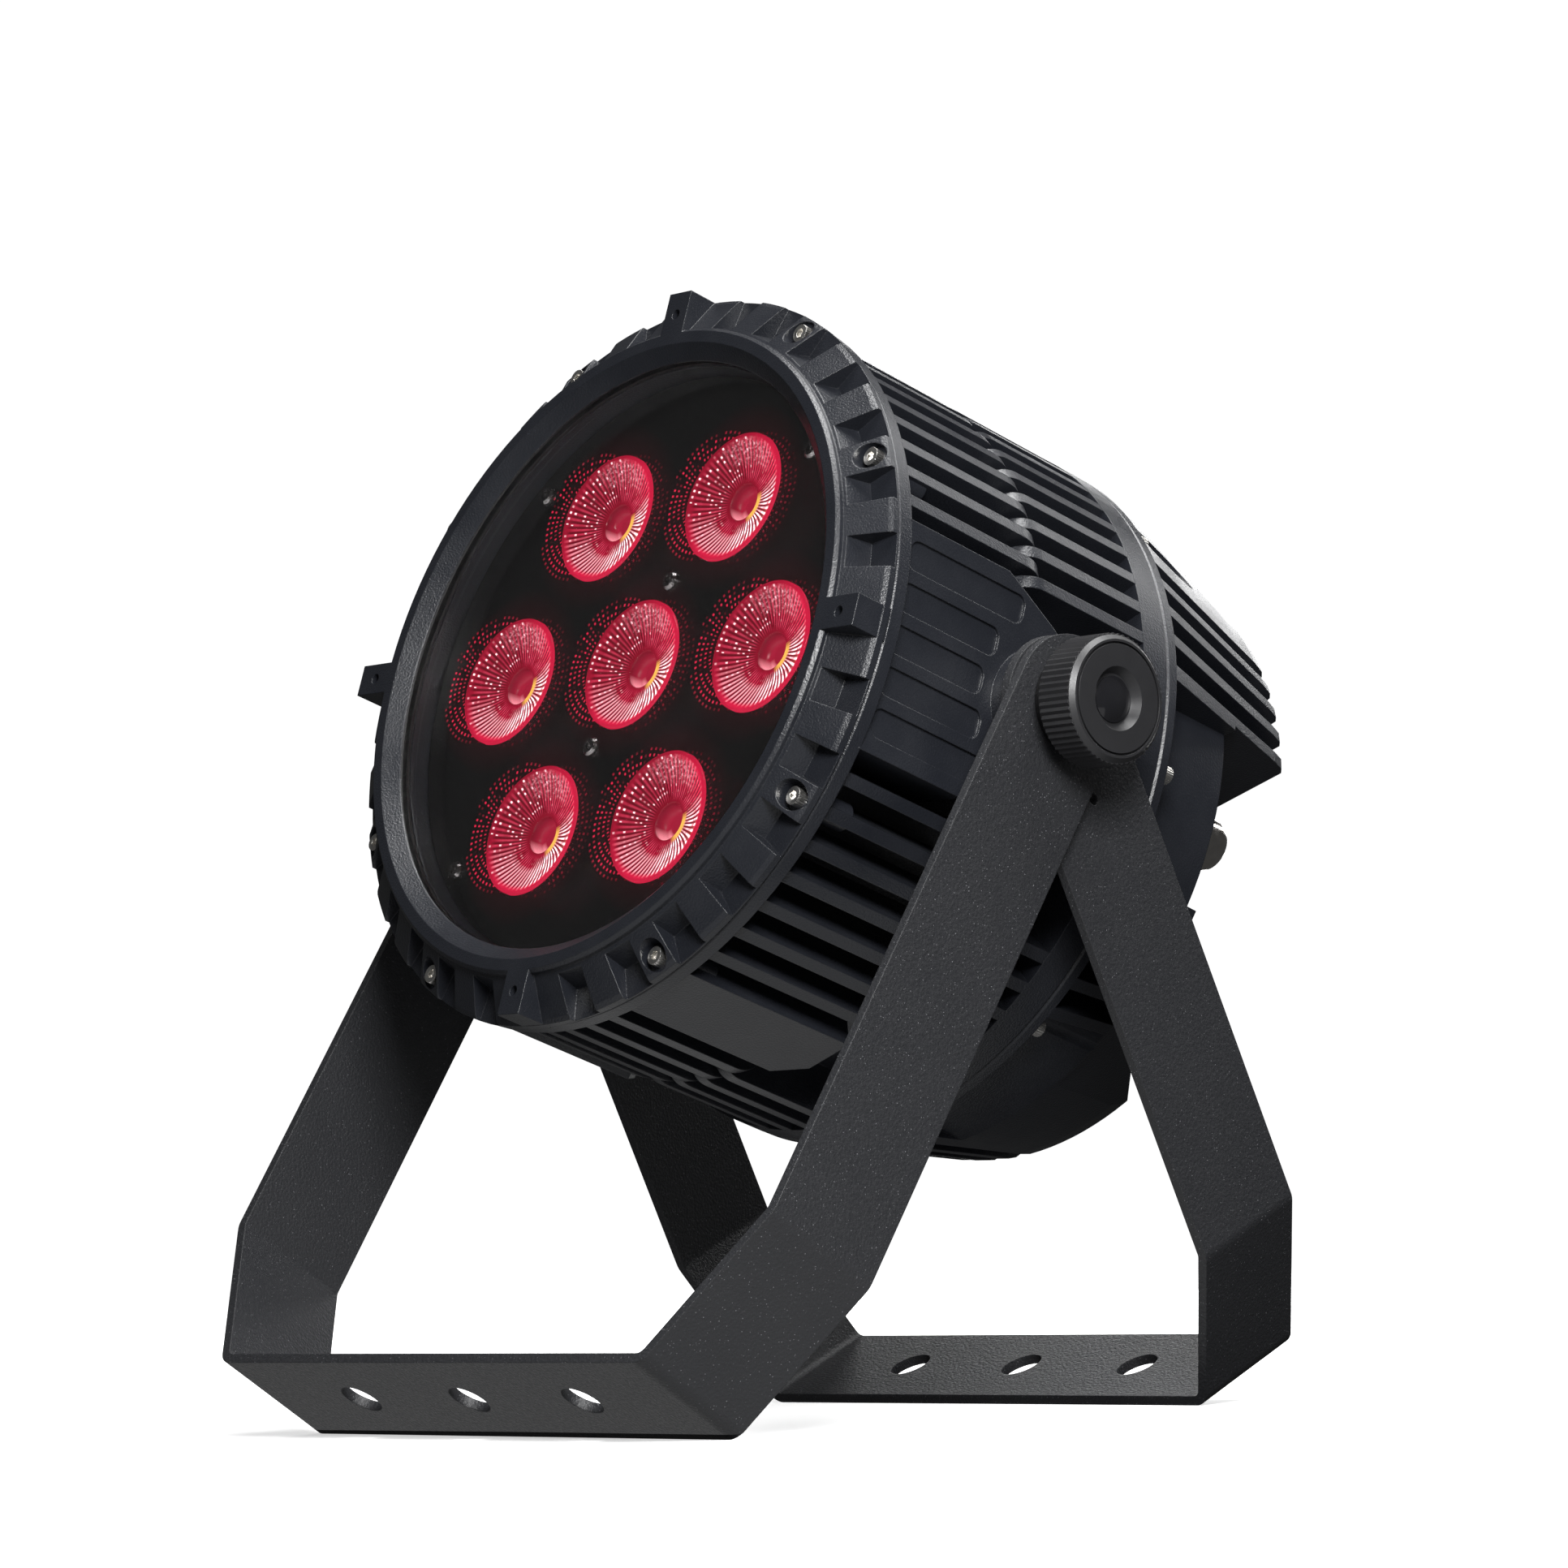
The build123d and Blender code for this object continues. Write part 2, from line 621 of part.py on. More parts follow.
def lower_pad():
    """Smooth flat land between the ribs, with one rear corner cut off."""
    half = LOWER_PAD_HALF
    outline = make_face(Plane.YZ * Polyline((half, FLANGE_BACK_Z), (half, LOWER_PAD_END_Z),
                                            (-half + LOWER_PAD_CLIP, LOWER_PAD_END_Z),
                                            (-half, LOWER_PAD_END_Z + LOWER_PAD_CLIP),
                                            (-half, FLANGE_BACK_Z), close=True))
    pad = Pos(LOWER_PAD_ROOT_R, 0, 0) * extrude(outline, amount=LOWER_PAD_R - LOWER_PAD_ROOT_R, dir=(1, 0, 0))
    return Rot(0, 0, LOWER_PAD_ANGLE) * pad


def main_housing():
    core = turned([(0, REAR_SEAM_Z), (REAR_FLANGE_R - SEAM_CHAMFER, REAR_SEAM_Z),
                   (REAR_FLANGE_R, REAR_SEAM_Z + SEAM_CHAMFER), (REAR_FLANGE_R, REAR_FLANGE_Z),
                   (CORE_R, REAR_FLANGE_Z), (CORE_R, FLANGE_BACK_Z), (FLANGE_R, FLANGE_BACK_Z),
                   (FLANGE_R, SEAM_Z - SEAM_CHAMFER), (FLANGE_R - SEAM_CHAMFER, SEAM_Z), (NOSE_R, SEAM_Z),
                   (NOSE_R, NOSE_Z), (0, NOSE_Z)])
    pieces = fin_set() + both_sides(side_pad()) + both_sides(lower_pad())
    pieces += [polar(BOSS_RING_R, a) * disc(SCREW_BOSS_R, FLANGE_BACK_Z - SCREW_BOSS_LEN, FLANGE_BACK_Z)
               for a in bezel_screw_angles()]
    body = core.fuse(*pieces)
    cuts = [disc(CHAMBER_R, LED_BOARD_Z, NOSE_Z + PAST)]
    cuts.append(disc(REAR_CHAMBER_R, REAR_SEAM_Z - PAST, BULKHEAD_BACK_Z))
    cuts += both_sides(rod(INSERT_R, INSERT_X, TILT_BOSS_X + PAST))
    bezel_tap = disc(M3_TAP_R, SEAM_Z - BEZEL_SCREW_LEN, SEAM_Z + PAST)
    cuts += [polar(BEZEL_SCREW_R, a) * bezel_tap for a in bezel_screw_angles()]
    cover_tap = disc(M3_TAP_R, REAR_SEAM_Z - PAST, REAR_SEAM_Z + COVER_TAP_DEPTH)
    cuts += [polar(COVER_SCREW_R, a) * cover_tap for a in cover_screw_angles()]
    board_tap = disc(M3_TAP_R, LED_BOARD_Z - BOARD_TAP_DEPTH, LED_BOARD_Z + PAST)
    cuts += [Pos(x, y, 0) * board_tap for x, y in board_screw_spots()]
    cuts.append(rear_gasket())
    return body.cut(*cuts)


# ================================================================ rear cover
def side_recess(grow=0.0):
    """Right-hand notch for the cable glands, optionally grown by the wall thickness."""
    (far_x, far_y), (near_x, near_y) = RECESS_TOP
    side = near_x - grow
    outline = make_face(Polyline((side, near_y + grow), (far_x, far_y + grow), (far_x, SEAM_SIDE),
                                 (side, SEAM_SIDE), close=True))
    depth = RECESS_Z - COVER_END_Z + WELL_PAST + grow
    notch = Pos(0, 0, RECESS_Z + grow) * extrude(outline, amount=depth, dir=(0, 0, -1))
    low, high, back = [Vector(*point) for point in RECESS_LOW]
    normal = (high - low).cross(back - low).normalized()
    if normal.Y < 0:
        normal = normal * -1
    slope = Plane(origin=low - normal * grow, z_dir=normal)
    return notch & slope * Pos(0, 0, FAR / 2) * Box(2 * FAR, 2 * FAR, FAR)


def slot_between(angle_a, angle_b, z_end):
    """Open slot between two neighbouring fins, down to the floor radius."""
    half_a = math.degrees(FIN_T / 2 / FIN_R)
    span = abs(angle_b - angle_a) - 2 * half_a
    start = min(angle_a, angle_b) + half_a
    top = COVER_FRONT_R + WELL_PAST
    return turned([(COVER_FLOOR_R, COVER_RIM_Z), (top, COVER_RIM_Z), (top, z_end), (COVER_FLOOR_R, z_end)],
                  span, start)


def cover_slots():
    slots = []
    behind = COVER_END_Z - PAST
    for a, b in zip(COVER_SIDE_FINS[:-1], COVER_SIDE_FINS[1:]):
        slots.append(slot_between(a, b, behind))
        slots.append(slot_between(180 - a, 180 - b, behind))
        low_a, low_b = a + COVER_LOW_FIN_SHIFT, b + COVER_LOW_FIN_SHIFT
        slots.append(slot_between(-low_a, -low_b, COVER_LOW_FIN_END_Z))
        slots.append(slot_between(180 + low_a, 180 + low_b, COVER_LOW_FIN_END_Z))
    for a, b in zip(COVER_TOP_FINS[:-1], COVER_TOP_FINS[1:]):
        slots.append(slot_between(a, b, behind))
        slots.append(slot_between(a + 180, b + 180, behind))
    return slots


def side_patch():
    """Shallow round side panel between the upper and lower finned wedges."""
    span = 2 * PATCH_ANGLE + COVER_LOW_FIN_SHIFT
    top = COVER_FRONT_R + WELL_PAST
    behind = COVER_END_Z - PAST
    profile = [(PATCH_R, COVER_RIM_Z), (top, COVER_RIM_Z), (top, behind), (PATCH_R, behind)]
    return both_sides(turned(profile, span, -PATCH_ANGLE - COVER_LOW_FIN_SHIFT))


def lower_step():
    """Relief behind the rim on the smooth lower quarter, so that the screw there stands clear."""
    top = COVER_FRONT_R + WELL_PAST
    profile = [(COVER_STEP_R, COVER_RIM_Z), (top, COVER_RIM_Z), (top, COVER_END_Z),
               (COVER_STEP_R, COVER_END_Z)]
    return both_sides(turned(profile, COVER_STEP_TO - COVER_STEP_FROM, COVER_STEP_FROM))


def facet():
    """Flat land on the lower corner of the cone."""
    plane = Plane(origin=Vector(*FACET_POINT), z_dir=Vector(*FACET_NORMAL))
    slab = plane * Pos(0, 0, FAR / 2) * Box(FAR, FAR, FAR)
    return slab & disc(FAR, COVER_END_Z - PAST, COVER_LOW_FIN_END_Z)


def button_spots():
    return [(BUTTON_PITCH * (i - (BUTTON_COUNT - 1) / 2), BUTTON_V) for i in range(BUTTON_COUNT)]


def control_post_spots():
    width, height = CONTROL_SIZE[:2]
    corners = quarter_spots(width / 2 - POST_INSET, height / 2 - POST_INSET)
    return [(x, CONTROL_V + y) for x, y in corners]


def cover_screw_angles():
    return range(0, 360, 45)


def gland_spots():
    return [(side * x, y) for x, y in GLAND_SPOTS for side in (1, -1)]


def rear_cover():
    slope_r, slope_z = COVER_END_SLOPE
    shell = turned([(0, REAR_SEAM_Z), (COVER_FRONT_R - SEAM_CHAMFER, REAR_SEAM_Z),
                    (COVER_FRONT_R, REAR_SEAM_Z - SEAM_CHAMFER), (COVER_FRONT_R, COVER_RIM_Z),
                    (COVER_END_R + slope_r, COVER_END_Z + slope_z),
                    (COVER_END_R, COVER_END_Z + COVER_END_EDGE),
                    (COVER_END_R - COVER_END_EDGE, COVER_END_Z), (0, COVER_END_Z)])
    inside = disc(COVER_INNER_R, REAR_SEAM_Z + PAST, COVER_END_Z + COVER_WALL)
    for grown in both_sides(side_recess(COVER_WALL)):
        inside = inside - grown
    cuts = [inside, rear_gasket()]
    cuts += both_sides(side_recess()) + side_patch() + lower_step() + both_sides(facet()) + cover_slots()
    pocket = disc(COVER_SCREW_POCKET_R, COVER_RIM_Z, COVER_END_Z)
    hole = disc(M3_CLEAR_R, COVER_RIM_Z - PAST, REAR_SEAM_Z + PAST)
    for a in cover_screw_angles():
        cuts.append(polar(COVER_SCREW_R, a) * pocket)
        cuts.append(polar(COVER_SCREW_R, a) * hole)
    window = Pos(0, WINDOW_V, 0)
    ledge = 2 * WINDOW_LEDGE
    cuts.append(window * block((WINDOW_W - ledge, WINDOW_H - ledge, 2 * DECK_WALL), (0, 0, COVER_END_Z)))
    cuts.append(window * block((WINDOW_W, WINDOW_H, 2 * WINDOW_T), (0, 0, COVER_END_Z)))
    button_hole = disc(BUTTON_HOLE_R, COVER_END_Z - PAST, COVER_END_Z + DECK_WALL)
    cuts += [Pos(x, y, 0) * button_hole for x, y in button_spots()]
    gland_hole = disc(GLAND_THREAD_R, RECESS_Z - PAST, RECESS_Z + DECK_WALL)
    cuts += [Pos(x, y, 0) * gland_hole for x, y in gland_spots()]
    cuts.append(Pos(*BREATHER_SPOT, 0) * disc(BREATHER_HOLE_R, RECESS_Z - PAST, RECESS_Z + DECK_WALL))
    eye_tap = disc(M3_TAP_R, COVER_END_Z - PAST, COVER_END_Z + DECK_WALL)
    cuts += [Pos(side * EYE_SCREW_X, EYE_V, 0) * eye_tap for side in (-1, 1)]
    shell = shell.cut(*cuts)
    post = tube(POST_R, M3_TAP_R, COVER_END_Z + COVER_WALL - PAST, CONTROL_Z)
    return shell.fuse(*[Pos(x, y, 0) * post for x, y in control_post_spots()])


def rear_gasket():
    return tube(SEAL_OUTER_R, SEAL_INNER_R, REAR_SEAM_Z - SEAL_HALF, REAR_SEAM_Z + SEAL_HALF)


def rear_cover_screws():
    screw = cap_screw(COVER_RIM_Z, COVER_SCREW_LEN, -1)
    return group([polar(COVER_SCREW_R, a) * screw for a in cover_screw_angles()])


def display_window():
    thickness = WINDOW_T - WINDOW_SEAT
    return block((WINDOW_W - WINDOW_GAP, WINDOW_H - WINDOW_GAP, thickness),
                 (0, WINDOW_V, COVER_END_Z + WINDOW_T - thickness / 2))


def display_module():
    depth = DISPLAY_SIZE[2]
    near = COVER_END_Z + WINDOW_T + DISPLAY_GAP
    header = (DISPLAY_SIZE[0] - HEADER_INSET, HEADER_W, CONTROL_Z - near)
    glass = block(DISPLAY_SIZE, (0, WINDOW_V, near + depth / 2))
    return glass + block(header, (0, WINDOW_V, (near + CONTROL_Z) / 2))


def menu_button(index):
    x, y = button_spots()[index]
    inner = COVER_END_Z + COVER_WALL + GAP
    cap = disc(BUTTON_R, COVER_END_Z - BUTTON_PROUD, inner + BUTTON_FLANGE_T)
    cap = chamfer(cap.edges().sort_by(Axis.Z)[0], BUTTON_CHAMFER)
    flange = disc(BUTTON_FLANGE_R, inner, inner + BUTTON_FLANGE_T)
    stem = disc(STEM_R, inner, inner + STEM_LEN)
    return Pos(x, y, 0) * (cap + flange + stem)


def gland_bodies():
    hex_end = RECESS_Z - GLAND_HEX_T
    neck_end = RECESS_Z - GLAND_NECK_END
    tail = disc(GLAND_THREAD_R - THREAD_GAP, RECESS_Z, RECESS_Z + GLAND_TAIL)
    hexagon = Pos(0, 0, hex_end) * extrude(RegularPolygon(GLAND_HEX_R, 6), amount=GLAND_HEX_T)
    neck = disc(GLAND_THREAD_R, neck_end, hex_end)
    bore_r = GLAND_BORE_R + GLAND_SEAL_T + GLAND_SEAL_GAP
    bore = disc(bore_r, neck_end - PAST, RECESS_Z + GLAND_TAIL + PAST)
    body = merged([tail, hexagon, neck]) - bore
    return group([Pos(x, y, 0) * body for x, y in gland_spots()])


def gland_nuts():
    near = RECESS_Z - GLAND_HEX_T - GLAND_NUT_GAP
    far = RECESS_Z - GLAND_DROP
    rounded = [(GLAND_R - inset, far + rise) for rise, inset in GLAND_NUT_EDGES]
    nut = turned([(0, near), (GLAND_R, near)] + rounded + [(0, far)])
    nut = nut - disc(GLAND_THREAD_R + THREAD_GAP, near + PAST, RECESS_Z - GLAND_NECK_END - GLAND_NUT_GAP / 2)
    nut = nut - disc(GLAND_BORE_R, near, far - PAST)
    flats = Pos(0, 0, near - GLAND_HEX_T) * extrude(RegularPolygon(GLAND_R + PAST, 6), amount=GLAND_HEX_T)
    nut = nut & (flats + disc(GLAND_R, near - GLAND_HEX_T, far - PAST))
    return group([Pos(x, y, 0) * nut for x, y in gland_spots()])


def gland_seals():
    out, into = GLAND_SEAL_LEN
    seal = tube(GLAND_BORE_R + GLAND_SEAL_T, GLAND_BORE_R, RECESS_Z - out, RECESS_Z + into)
    return group([Pos(x, y, 0) * seal for x, y in gland_spots()])


def breather_valve():
    stem = disc(BREATHER_HOLE_R - THREAD_GAP, RECESS_Z, RECESS_Z + BREATHER_STEM)
    head = disc(BREATHER_R, RECESS_Z - BREATHER_HEAD_H, RECESS_Z)
    head = chamfer(head.edges().sort_by(Axis.Z)[0], BREATHER_CHAMFER)
    return Pos(*BREATHER_SPOT, 0) * (head + stem)


def safety_eye():
    """Foot strip with an upright ring for a safety bond."""
    foot = block((EYE_WIDTH, EYE_FOOT, EYE_T), (0, EYE_V, COVER_END_Z - EYE_T / 2))
    centre_z = COVER_END_Z - EYE_CENTRE_RISE
    centre = Pos(0, EYE_V, centre_z) * Rot(90, 0, 0)
    arch = centre * Cylinder(EYE_BORE_R + EYE_RIM, EYE_T)
    arch = arch & block((FAR, FAR, FAR), (0, EYE_V, COVER_END_Z - FAR / 2))
    eye = foot + arch - centre * Cylinder(EYE_BORE_R, 2 * EYE_FOOT)
    hole = disc(M3_CLEAR_R, COVER_END_Z - WELL_PAST, COVER_END_Z + PAST)
    for side in (-1, 1):
        eye = eye - Pos(side * EYE_SCREW_X, EYE_V, 0) * hole
    return eye


def safety_eye_screws():
    screw = cap_screw(COVER_END_Z - EYE_T, EYE_SCREW_LEN, -1)
    return group([Pos(side * EYE_SCREW_X, EYE_V, 0) * screw for side in (-1, 1)])


# ================================================================ electronics
def driver_board():
    thickness = DRIVER_SIZE[2]
    plate = block(DRIVER_SIZE, (0, 0, DRIVER_Z - thickness / 2))
    hole = disc(M3_CLEAR_R, DRIVER_Z - thickness - PAST, DRIVER_Z + PAST)
    return plate.cut(*[Pos(x, y, 0) * hole for x, y in quarter_spots(*DRIVER_POST)])


def driver_standoffs():
    post = disc(POST_R, DRIVER_Z, BULKHEAD_BACK_Z)
    return group([Pos(x, y, 0) * post for x, y in quarter_spots(*DRIVER_POST)])


def driver_screws():
    seat = DRIVER_Z - DRIVER_SIZE[2]
    screw = disc(M3_HEAD_R, seat - PAN_HEAD_H, seat) + disc(M3_SHANK_R, seat, DRIVER_Z)
    return group([Pos(x, y, 0) * screw for x, y in quarter_spots(*DRIVER_POST)])


def driver_capacitors():
    low = DRIVER_Z - DRIVER_SIZE[2]
    can = disc(DRIVER_CAP_R, low - DRIVER_CAP_H, low)
    can = chamfer(can.edges().sort_by(Axis.Z)[0], CAN_CHAMFER)
    return group([Pos(x, y, 0) * can for x, y in CAP_SPOTS])


def driver_transformer():
    low = DRIVER_Z - DRIVER_SIZE[2]
    height, depth = TRANSFORMER_SIZE[1:]
    centre = (0, TRANSFORMER_V, low - depth / 2)
    core = block(TRANSFORMER_SIZE, centre)
    coil = Pos(*centre) * Rot(90, 0, 0) * Cylinder(depth / 2 + COIL_PROUD, height - COIL_END)
    return core + (coil & block((FAR, FAR, FAR), (0, 0, low - FAR / 2)))


def control_board():
    thickness = CONTROL_SIZE[2]
    plate = block(CONTROL_SIZE, (0, CONTROL_V, CONTROL_Z + thickness / 2))
    hole = disc(M3_CLEAR_R, CONTROL_Z - PAST, CONTROL_Z + thickness + PAST)
    return plate.cut(*[Pos(x, y, 0) * hole for x, y in control_post_spots()])


def control_screws():
    seat = CONTROL_Z + CONTROL_SIZE[2]
    screw = disc(M3_HEAD_R, seat, seat + PAN_HEAD_H) + disc(M3_SHANK_R, seat - CONTROL_SCREW_LEN, seat)
    return group([Pos(x, y, 0) * screw for x, y in control_post_spots()])


def button_switches():
    tip = COVER_END_Z + COVER_WALL + GAP + STEM_LEN + STEM_TRAVEL
    height = CONTROL_Z - tip - SWITCH_NECK
    body = block((SWITCH_SIZE, SWITCH_SIZE, height), (0, 0, CONTROL_Z - height / 2))
    switch = body + disc(STEM_R, tip, CONTROL_Z - height / 2)
    return group([Pos(x, y, 0) * switch for x, y in button_spots()])


# ================================================================ pivot hardware
def pivot_inserts():
    insert = rod(INSERT_R, INSERT_X, TILT_BOSS_X) - rod(STUD_R, INSERT_X - PAST, TILT_BOSS_X + PAST)
    return group(both_sides(insert))


def pivot_studs():
    stud = rod(STUD_R, STUD_START_X, STUD_END_X)
    return group(both_sides(chamfer(stud.edges().sort_by(Axis.X)[-1], STUD_CHAMFER)))


def washers(x, thickness):
    return group(both_sides(rod(WASHER_R, x, x + thickness) - rod(BORE_R, x - PAST, x + thickness + PAST)))


def pressure_washer():
    return rod(PRESSURE_R, PRESSURE_X, PRESSURE_X + PRESSURE_T) - rod(BORE_R, PRESSURE_X - PAST, KNOB_X)


def knob():
    body_x = KNOB_X + KNOB_COLLAR_LEN
    length = KNOB_FACE_X - body_x
    fluted = Rot(0, 90, 0) * Pos(0, 0, body_x + KNOB_BAND) * extrude(
        star(KNOB_R, KNOB_TEETH, KNOB_TOOTH_DEPTH), amount=length - 2 * KNOB_BAND)
    band_r = KNOB_R - KNOB_TOOTH_DEPTH
    plain = Rot(0, 90, 0) * turned([(0, body_x), (band_r - KNOB_BACK_CHAMFER, body_x),
                                    (band_r, body_x + KNOB_BAND), (band_r, KNOB_FACE_X - KNOB_BAND),
                                    (band_r - KNOB_BAND, KNOB_FACE_X), (0, KNOB_FACE_X)])
    body = merged([plain, fluted, rod(KNOB_COLLAR_R, KNOB_X, body_x + PAST)])
    groove = rod(KNOB_GROOVE_R + KNOB_GROOVE_W / 2, KNOB_FACE_X - KNOB_GROOVE_DEPTH, KNOB_FACE_X + PAST)
    groove = groove - rod(KNOB_GROOVE_R - KNOB_GROOVE_W / 2, KNOB_X, KNOB_FACE_X + 2 * PAST)
    floor_x = KNOB_FACE_X - KNOB_DISH_DEPTH
    dish = Rot(0, 90, 0) * turned([(0, floor_x), (KNOB_DISH_R - KNOB_DISH_SLOPE, floor_x),
                                   (KNOB_DISH_R, KNOB_FACE_X), (KNOB_DISH_R, KNOB_FACE_X + PAST),
                                   (0, KNOB_FACE_X + PAST)])
    nut_room = rod(NUT_R, KNOB_X - PAST, KNOB_X + NUT_LEN)
    stud_room = rod(STUD_R + STUD_ROOM, KNOB_X, STUD_END_X + STUD_END_ROOM)
    return body.cut(groove, dish, nut_room, stud_room)


def knob_nut():
    return rod(NUT_R, KNOB_X, KNOB_X + NUT_LEN) - rod(BORE_R, KNOB_X - PAST, KNOB_X + NUT_LEN + PAST)


def knob_cap():
    """Shallow glossy dome, part of a sphere, on the floor of the dish."""
    base_x = KNOB_FACE_X - KNOB_DISH_DEPTH
    rise = CAP_HEIGHT - CAP_RIM
    dome_r = (CAP_R ** 2 + rise ** 2) / (2 * rise)
    half = math.asin(CAP_R / dome_r) / 2
    shoulder = (CAP_R, 0, CAP_RIM)
    crown = (0, 0, CAP_HEIGHT)
    bulge = (dome_r * math.sin(half), 0, CAP_HEIGHT - dome_r * (1 - math.cos(half)))
    outline = [Line(crown, (0, 0, 0)), Line((0, 0, 0), (CAP_R, 0, 0)), Line((CAP_R, 0, 0), shoulder),
               ThreePointArc(shoulder, bulge, crown)]
    return Rot(0, 90, 0) * Pos(0, 0, base_x) * revolve(make_face(outline), Axis.Z)


# ================================================================ brackets
def strip_profile(arm_x, bend_drop, foot_drop):
    """Cross-section of a bent U strip, its legs hanging down from the tilt axis."""
    top = STRIP_W / 2 + PAST
    outer = [(arm_x + BRACKET_T, top), (arm_x + BRACKET_T, -bend_drop), (FOOT_HALF, -foot_drop)]
    slant = math.atan2(arm_x + BRACKET_T - FOOT_HALF, foot_drop - bend_drop)
    upper_shift = BRACKET_T * math.tan(slant / 2)
    lower_shift = BRACKET_T * math.tan((math.pi / 2 - slant) / 2)
    inner = [(FOOT_HALF - lower_shift, -foot_drop + BRACKET_T), (arm_x, -bend_drop + upper_shift),
             (arm_x, top)]
    points = ([(-x, z) for x, z in outer] + [(x, z) for x, z in reversed(outer)]
              + [(x, z) for x, z in reversed(inner)] + [(-x, z) for x, z in inner])
    return make_face(Plane.XZ * Polyline(*points, close=True))


def rounded_bends(face, arm_x, foot_drop):
    """The strip's cross-section with its bends rounded, outer corners first."""
    bends = [v for v in face.vertices() if v.Z < -STRIP_W]
    outer = [v for v in bends if abs(v.X) > arm_x + PAST or v.Z < -foot_drop + PAST]
    inner = [v.center() for v in bends if v not in outer]
    face = fillet(outer, BEND_OUTER_R)
    left = [v for v in face.vertices() if any((v.center() - corner).length < SAME_POINT for corner in inner)]
    return fillet(left, BEND_INNER_R)


def bracket(arm_x, bend_drop, foot_drop, arm_hole):
    face = rounded_bends(strip_profile(arm_x, bend_drop, foot_drop), arm_x, foot_drop)
    strip = extrude(face, amount=STRIP_W / 2, both=True)
    side = make_face(Plane.YZ * Polyline((-STRIP_W / 2, -FAR), (STRIP_W / 2, -FAR), (STRIP_W / 2, 0),
                                         (-STRIP_W / 2, 0), close=True))
    strip = strip & (extrude(side, amount=FAR, both=True) + rod(STRIP_W / 2, -FAR, FAR))
    foot_hole = disc(FOOT_HOLE_R, -foot_drop - PAST, -foot_drop + BRACKET_T + PAST)
    cuts = [rod(BORE_R, -FAR, FAR)] + [Pos(i * FOOT_HOLE_PITCH, 0, 0) * foot_hole for i in (-1, 0, 1)]
    if arm_hole:
        hole = rod(ARM_HOLE_R, arm_x - PAST, arm_x + BRACKET_T + PAST)
        cuts += both_sides(Pos(0, 0, -ARM_HOLE_DROP) * hole)
    return strip.cut(*cuts)


def foot_drop(splay):
    """Length of a bracket so that its inner foot edge reaches the floor."""
    a = math.radians(splay)
    return (AXIS_HEIGHT - math.sin(a) * STRIP_W / 2) / math.cos(a)


def head_parts():
    parts = {
        "front_bezel": front_bezel(), "bezel_screws": bezel_screws(), "glass_gasket": glass_gasket(),
        "front_glass": front_glass(), "lens_mask": lens_mask(), "mask_screws": mask_screws(),
        "mask_standoffs": mask_standoffs(), "tir_lenses": tir_lenses(), "lens_holders": lens_holders(),
        "led_board": led_board(), "led_emitters": led_emitters(), "led_board_screws": led_board_screws(),
        "main_housing": main_housing(), "rear_cover": rear_cover(), "rear_gasket": rear_gasket(),
        "rear_cover_screws": rear_cover_screws(), "display_window": display_window(),
        "display_module": display_module(), "gland_bodies": gland_bodies(), "gland_nuts": gland_nuts(),
        "gland_seals": gland_seals(), "breather_valve": breather_valve(), "safety_eye": safety_eye(),
        "safety_eye_screws": safety_eye_screws(), "driver_board": driver_board(),
        "driver_standoffs": driver_standoffs(), "driver_screws": driver_screws(),
        "driver_capacitors": driver_capacitors(), "driver_transformer": driver_transformer(),
        "control_board": control_board(), "control_screws": control_screws(),
        "button_switches": button_switches(),
        "pivot_inserts": pivot_inserts(), "pivot_studs": pivot_studs(),
        "friction_washers": washers(TILT_BOSS_X, FRICTION_T),
    }
    for i in range(len(button_spots())):
        parts[f"menu_button_{i + 1}"] = menu_button(i)
    clamp = {"knob": knob(), "knob_nut": knob_nut(), "knob_cap": knob_cap(),
             "pressure_washer": pressure_washer()}
    for name, shape in clamp.items():
        parts[f"right_{name}"] = shape
        parts[f"left_{name}"] = mirror(shape, Plane.YZ)
    return parts


def main():
    os.makedirs("parts", exist_ok=True)
    head_turn = Rot(90 - TILT, 0, 0)
    parts = {name: head_turn * shape for name, shape in head_parts().items()}
    front_turn = Rot(-FRONT_SPLAY, 0, 0)
    parts["front_bracket"] = front_turn * bracket(FRONT_ARM_X, FRONT_BEND_DROP, foot_drop(FRONT_SPLAY), False)
    parts["spacer_washers"] = front_turn * washers(SPACER_X, SPACER_T)
    rear = bracket(REAR_ARM_X, REAR_BEND_DROP, foot_drop(REAR_SPLAY), True)
    parts["rear_bracket"] = Rot(REAR_SPLAY, 0, 0) * rear
    boxes = [shape.bounding_box() for shape in parts.values()]
    axis_y = -(min(b.min.Y for b in boxes) + max(b.max.Y for b in boxes)) / 2
    shift = Pos(0, axis_y, AXIS_HEIGHT)
    print("tilt axis at Y", round(axis_y, 4), "Z", AXIS_HEIGHT, "lowest", min(b.min.Z for b in boxes))
    for name, shape in parts.items():
        export_step(shift * shape, f"parts/{name}.step")


main()
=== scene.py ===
"""Looks of the par can light: materials, lit lenses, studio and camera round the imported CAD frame."""

import json
import math

import bmesh
import bpy
from mathutils import Matrix, Vector


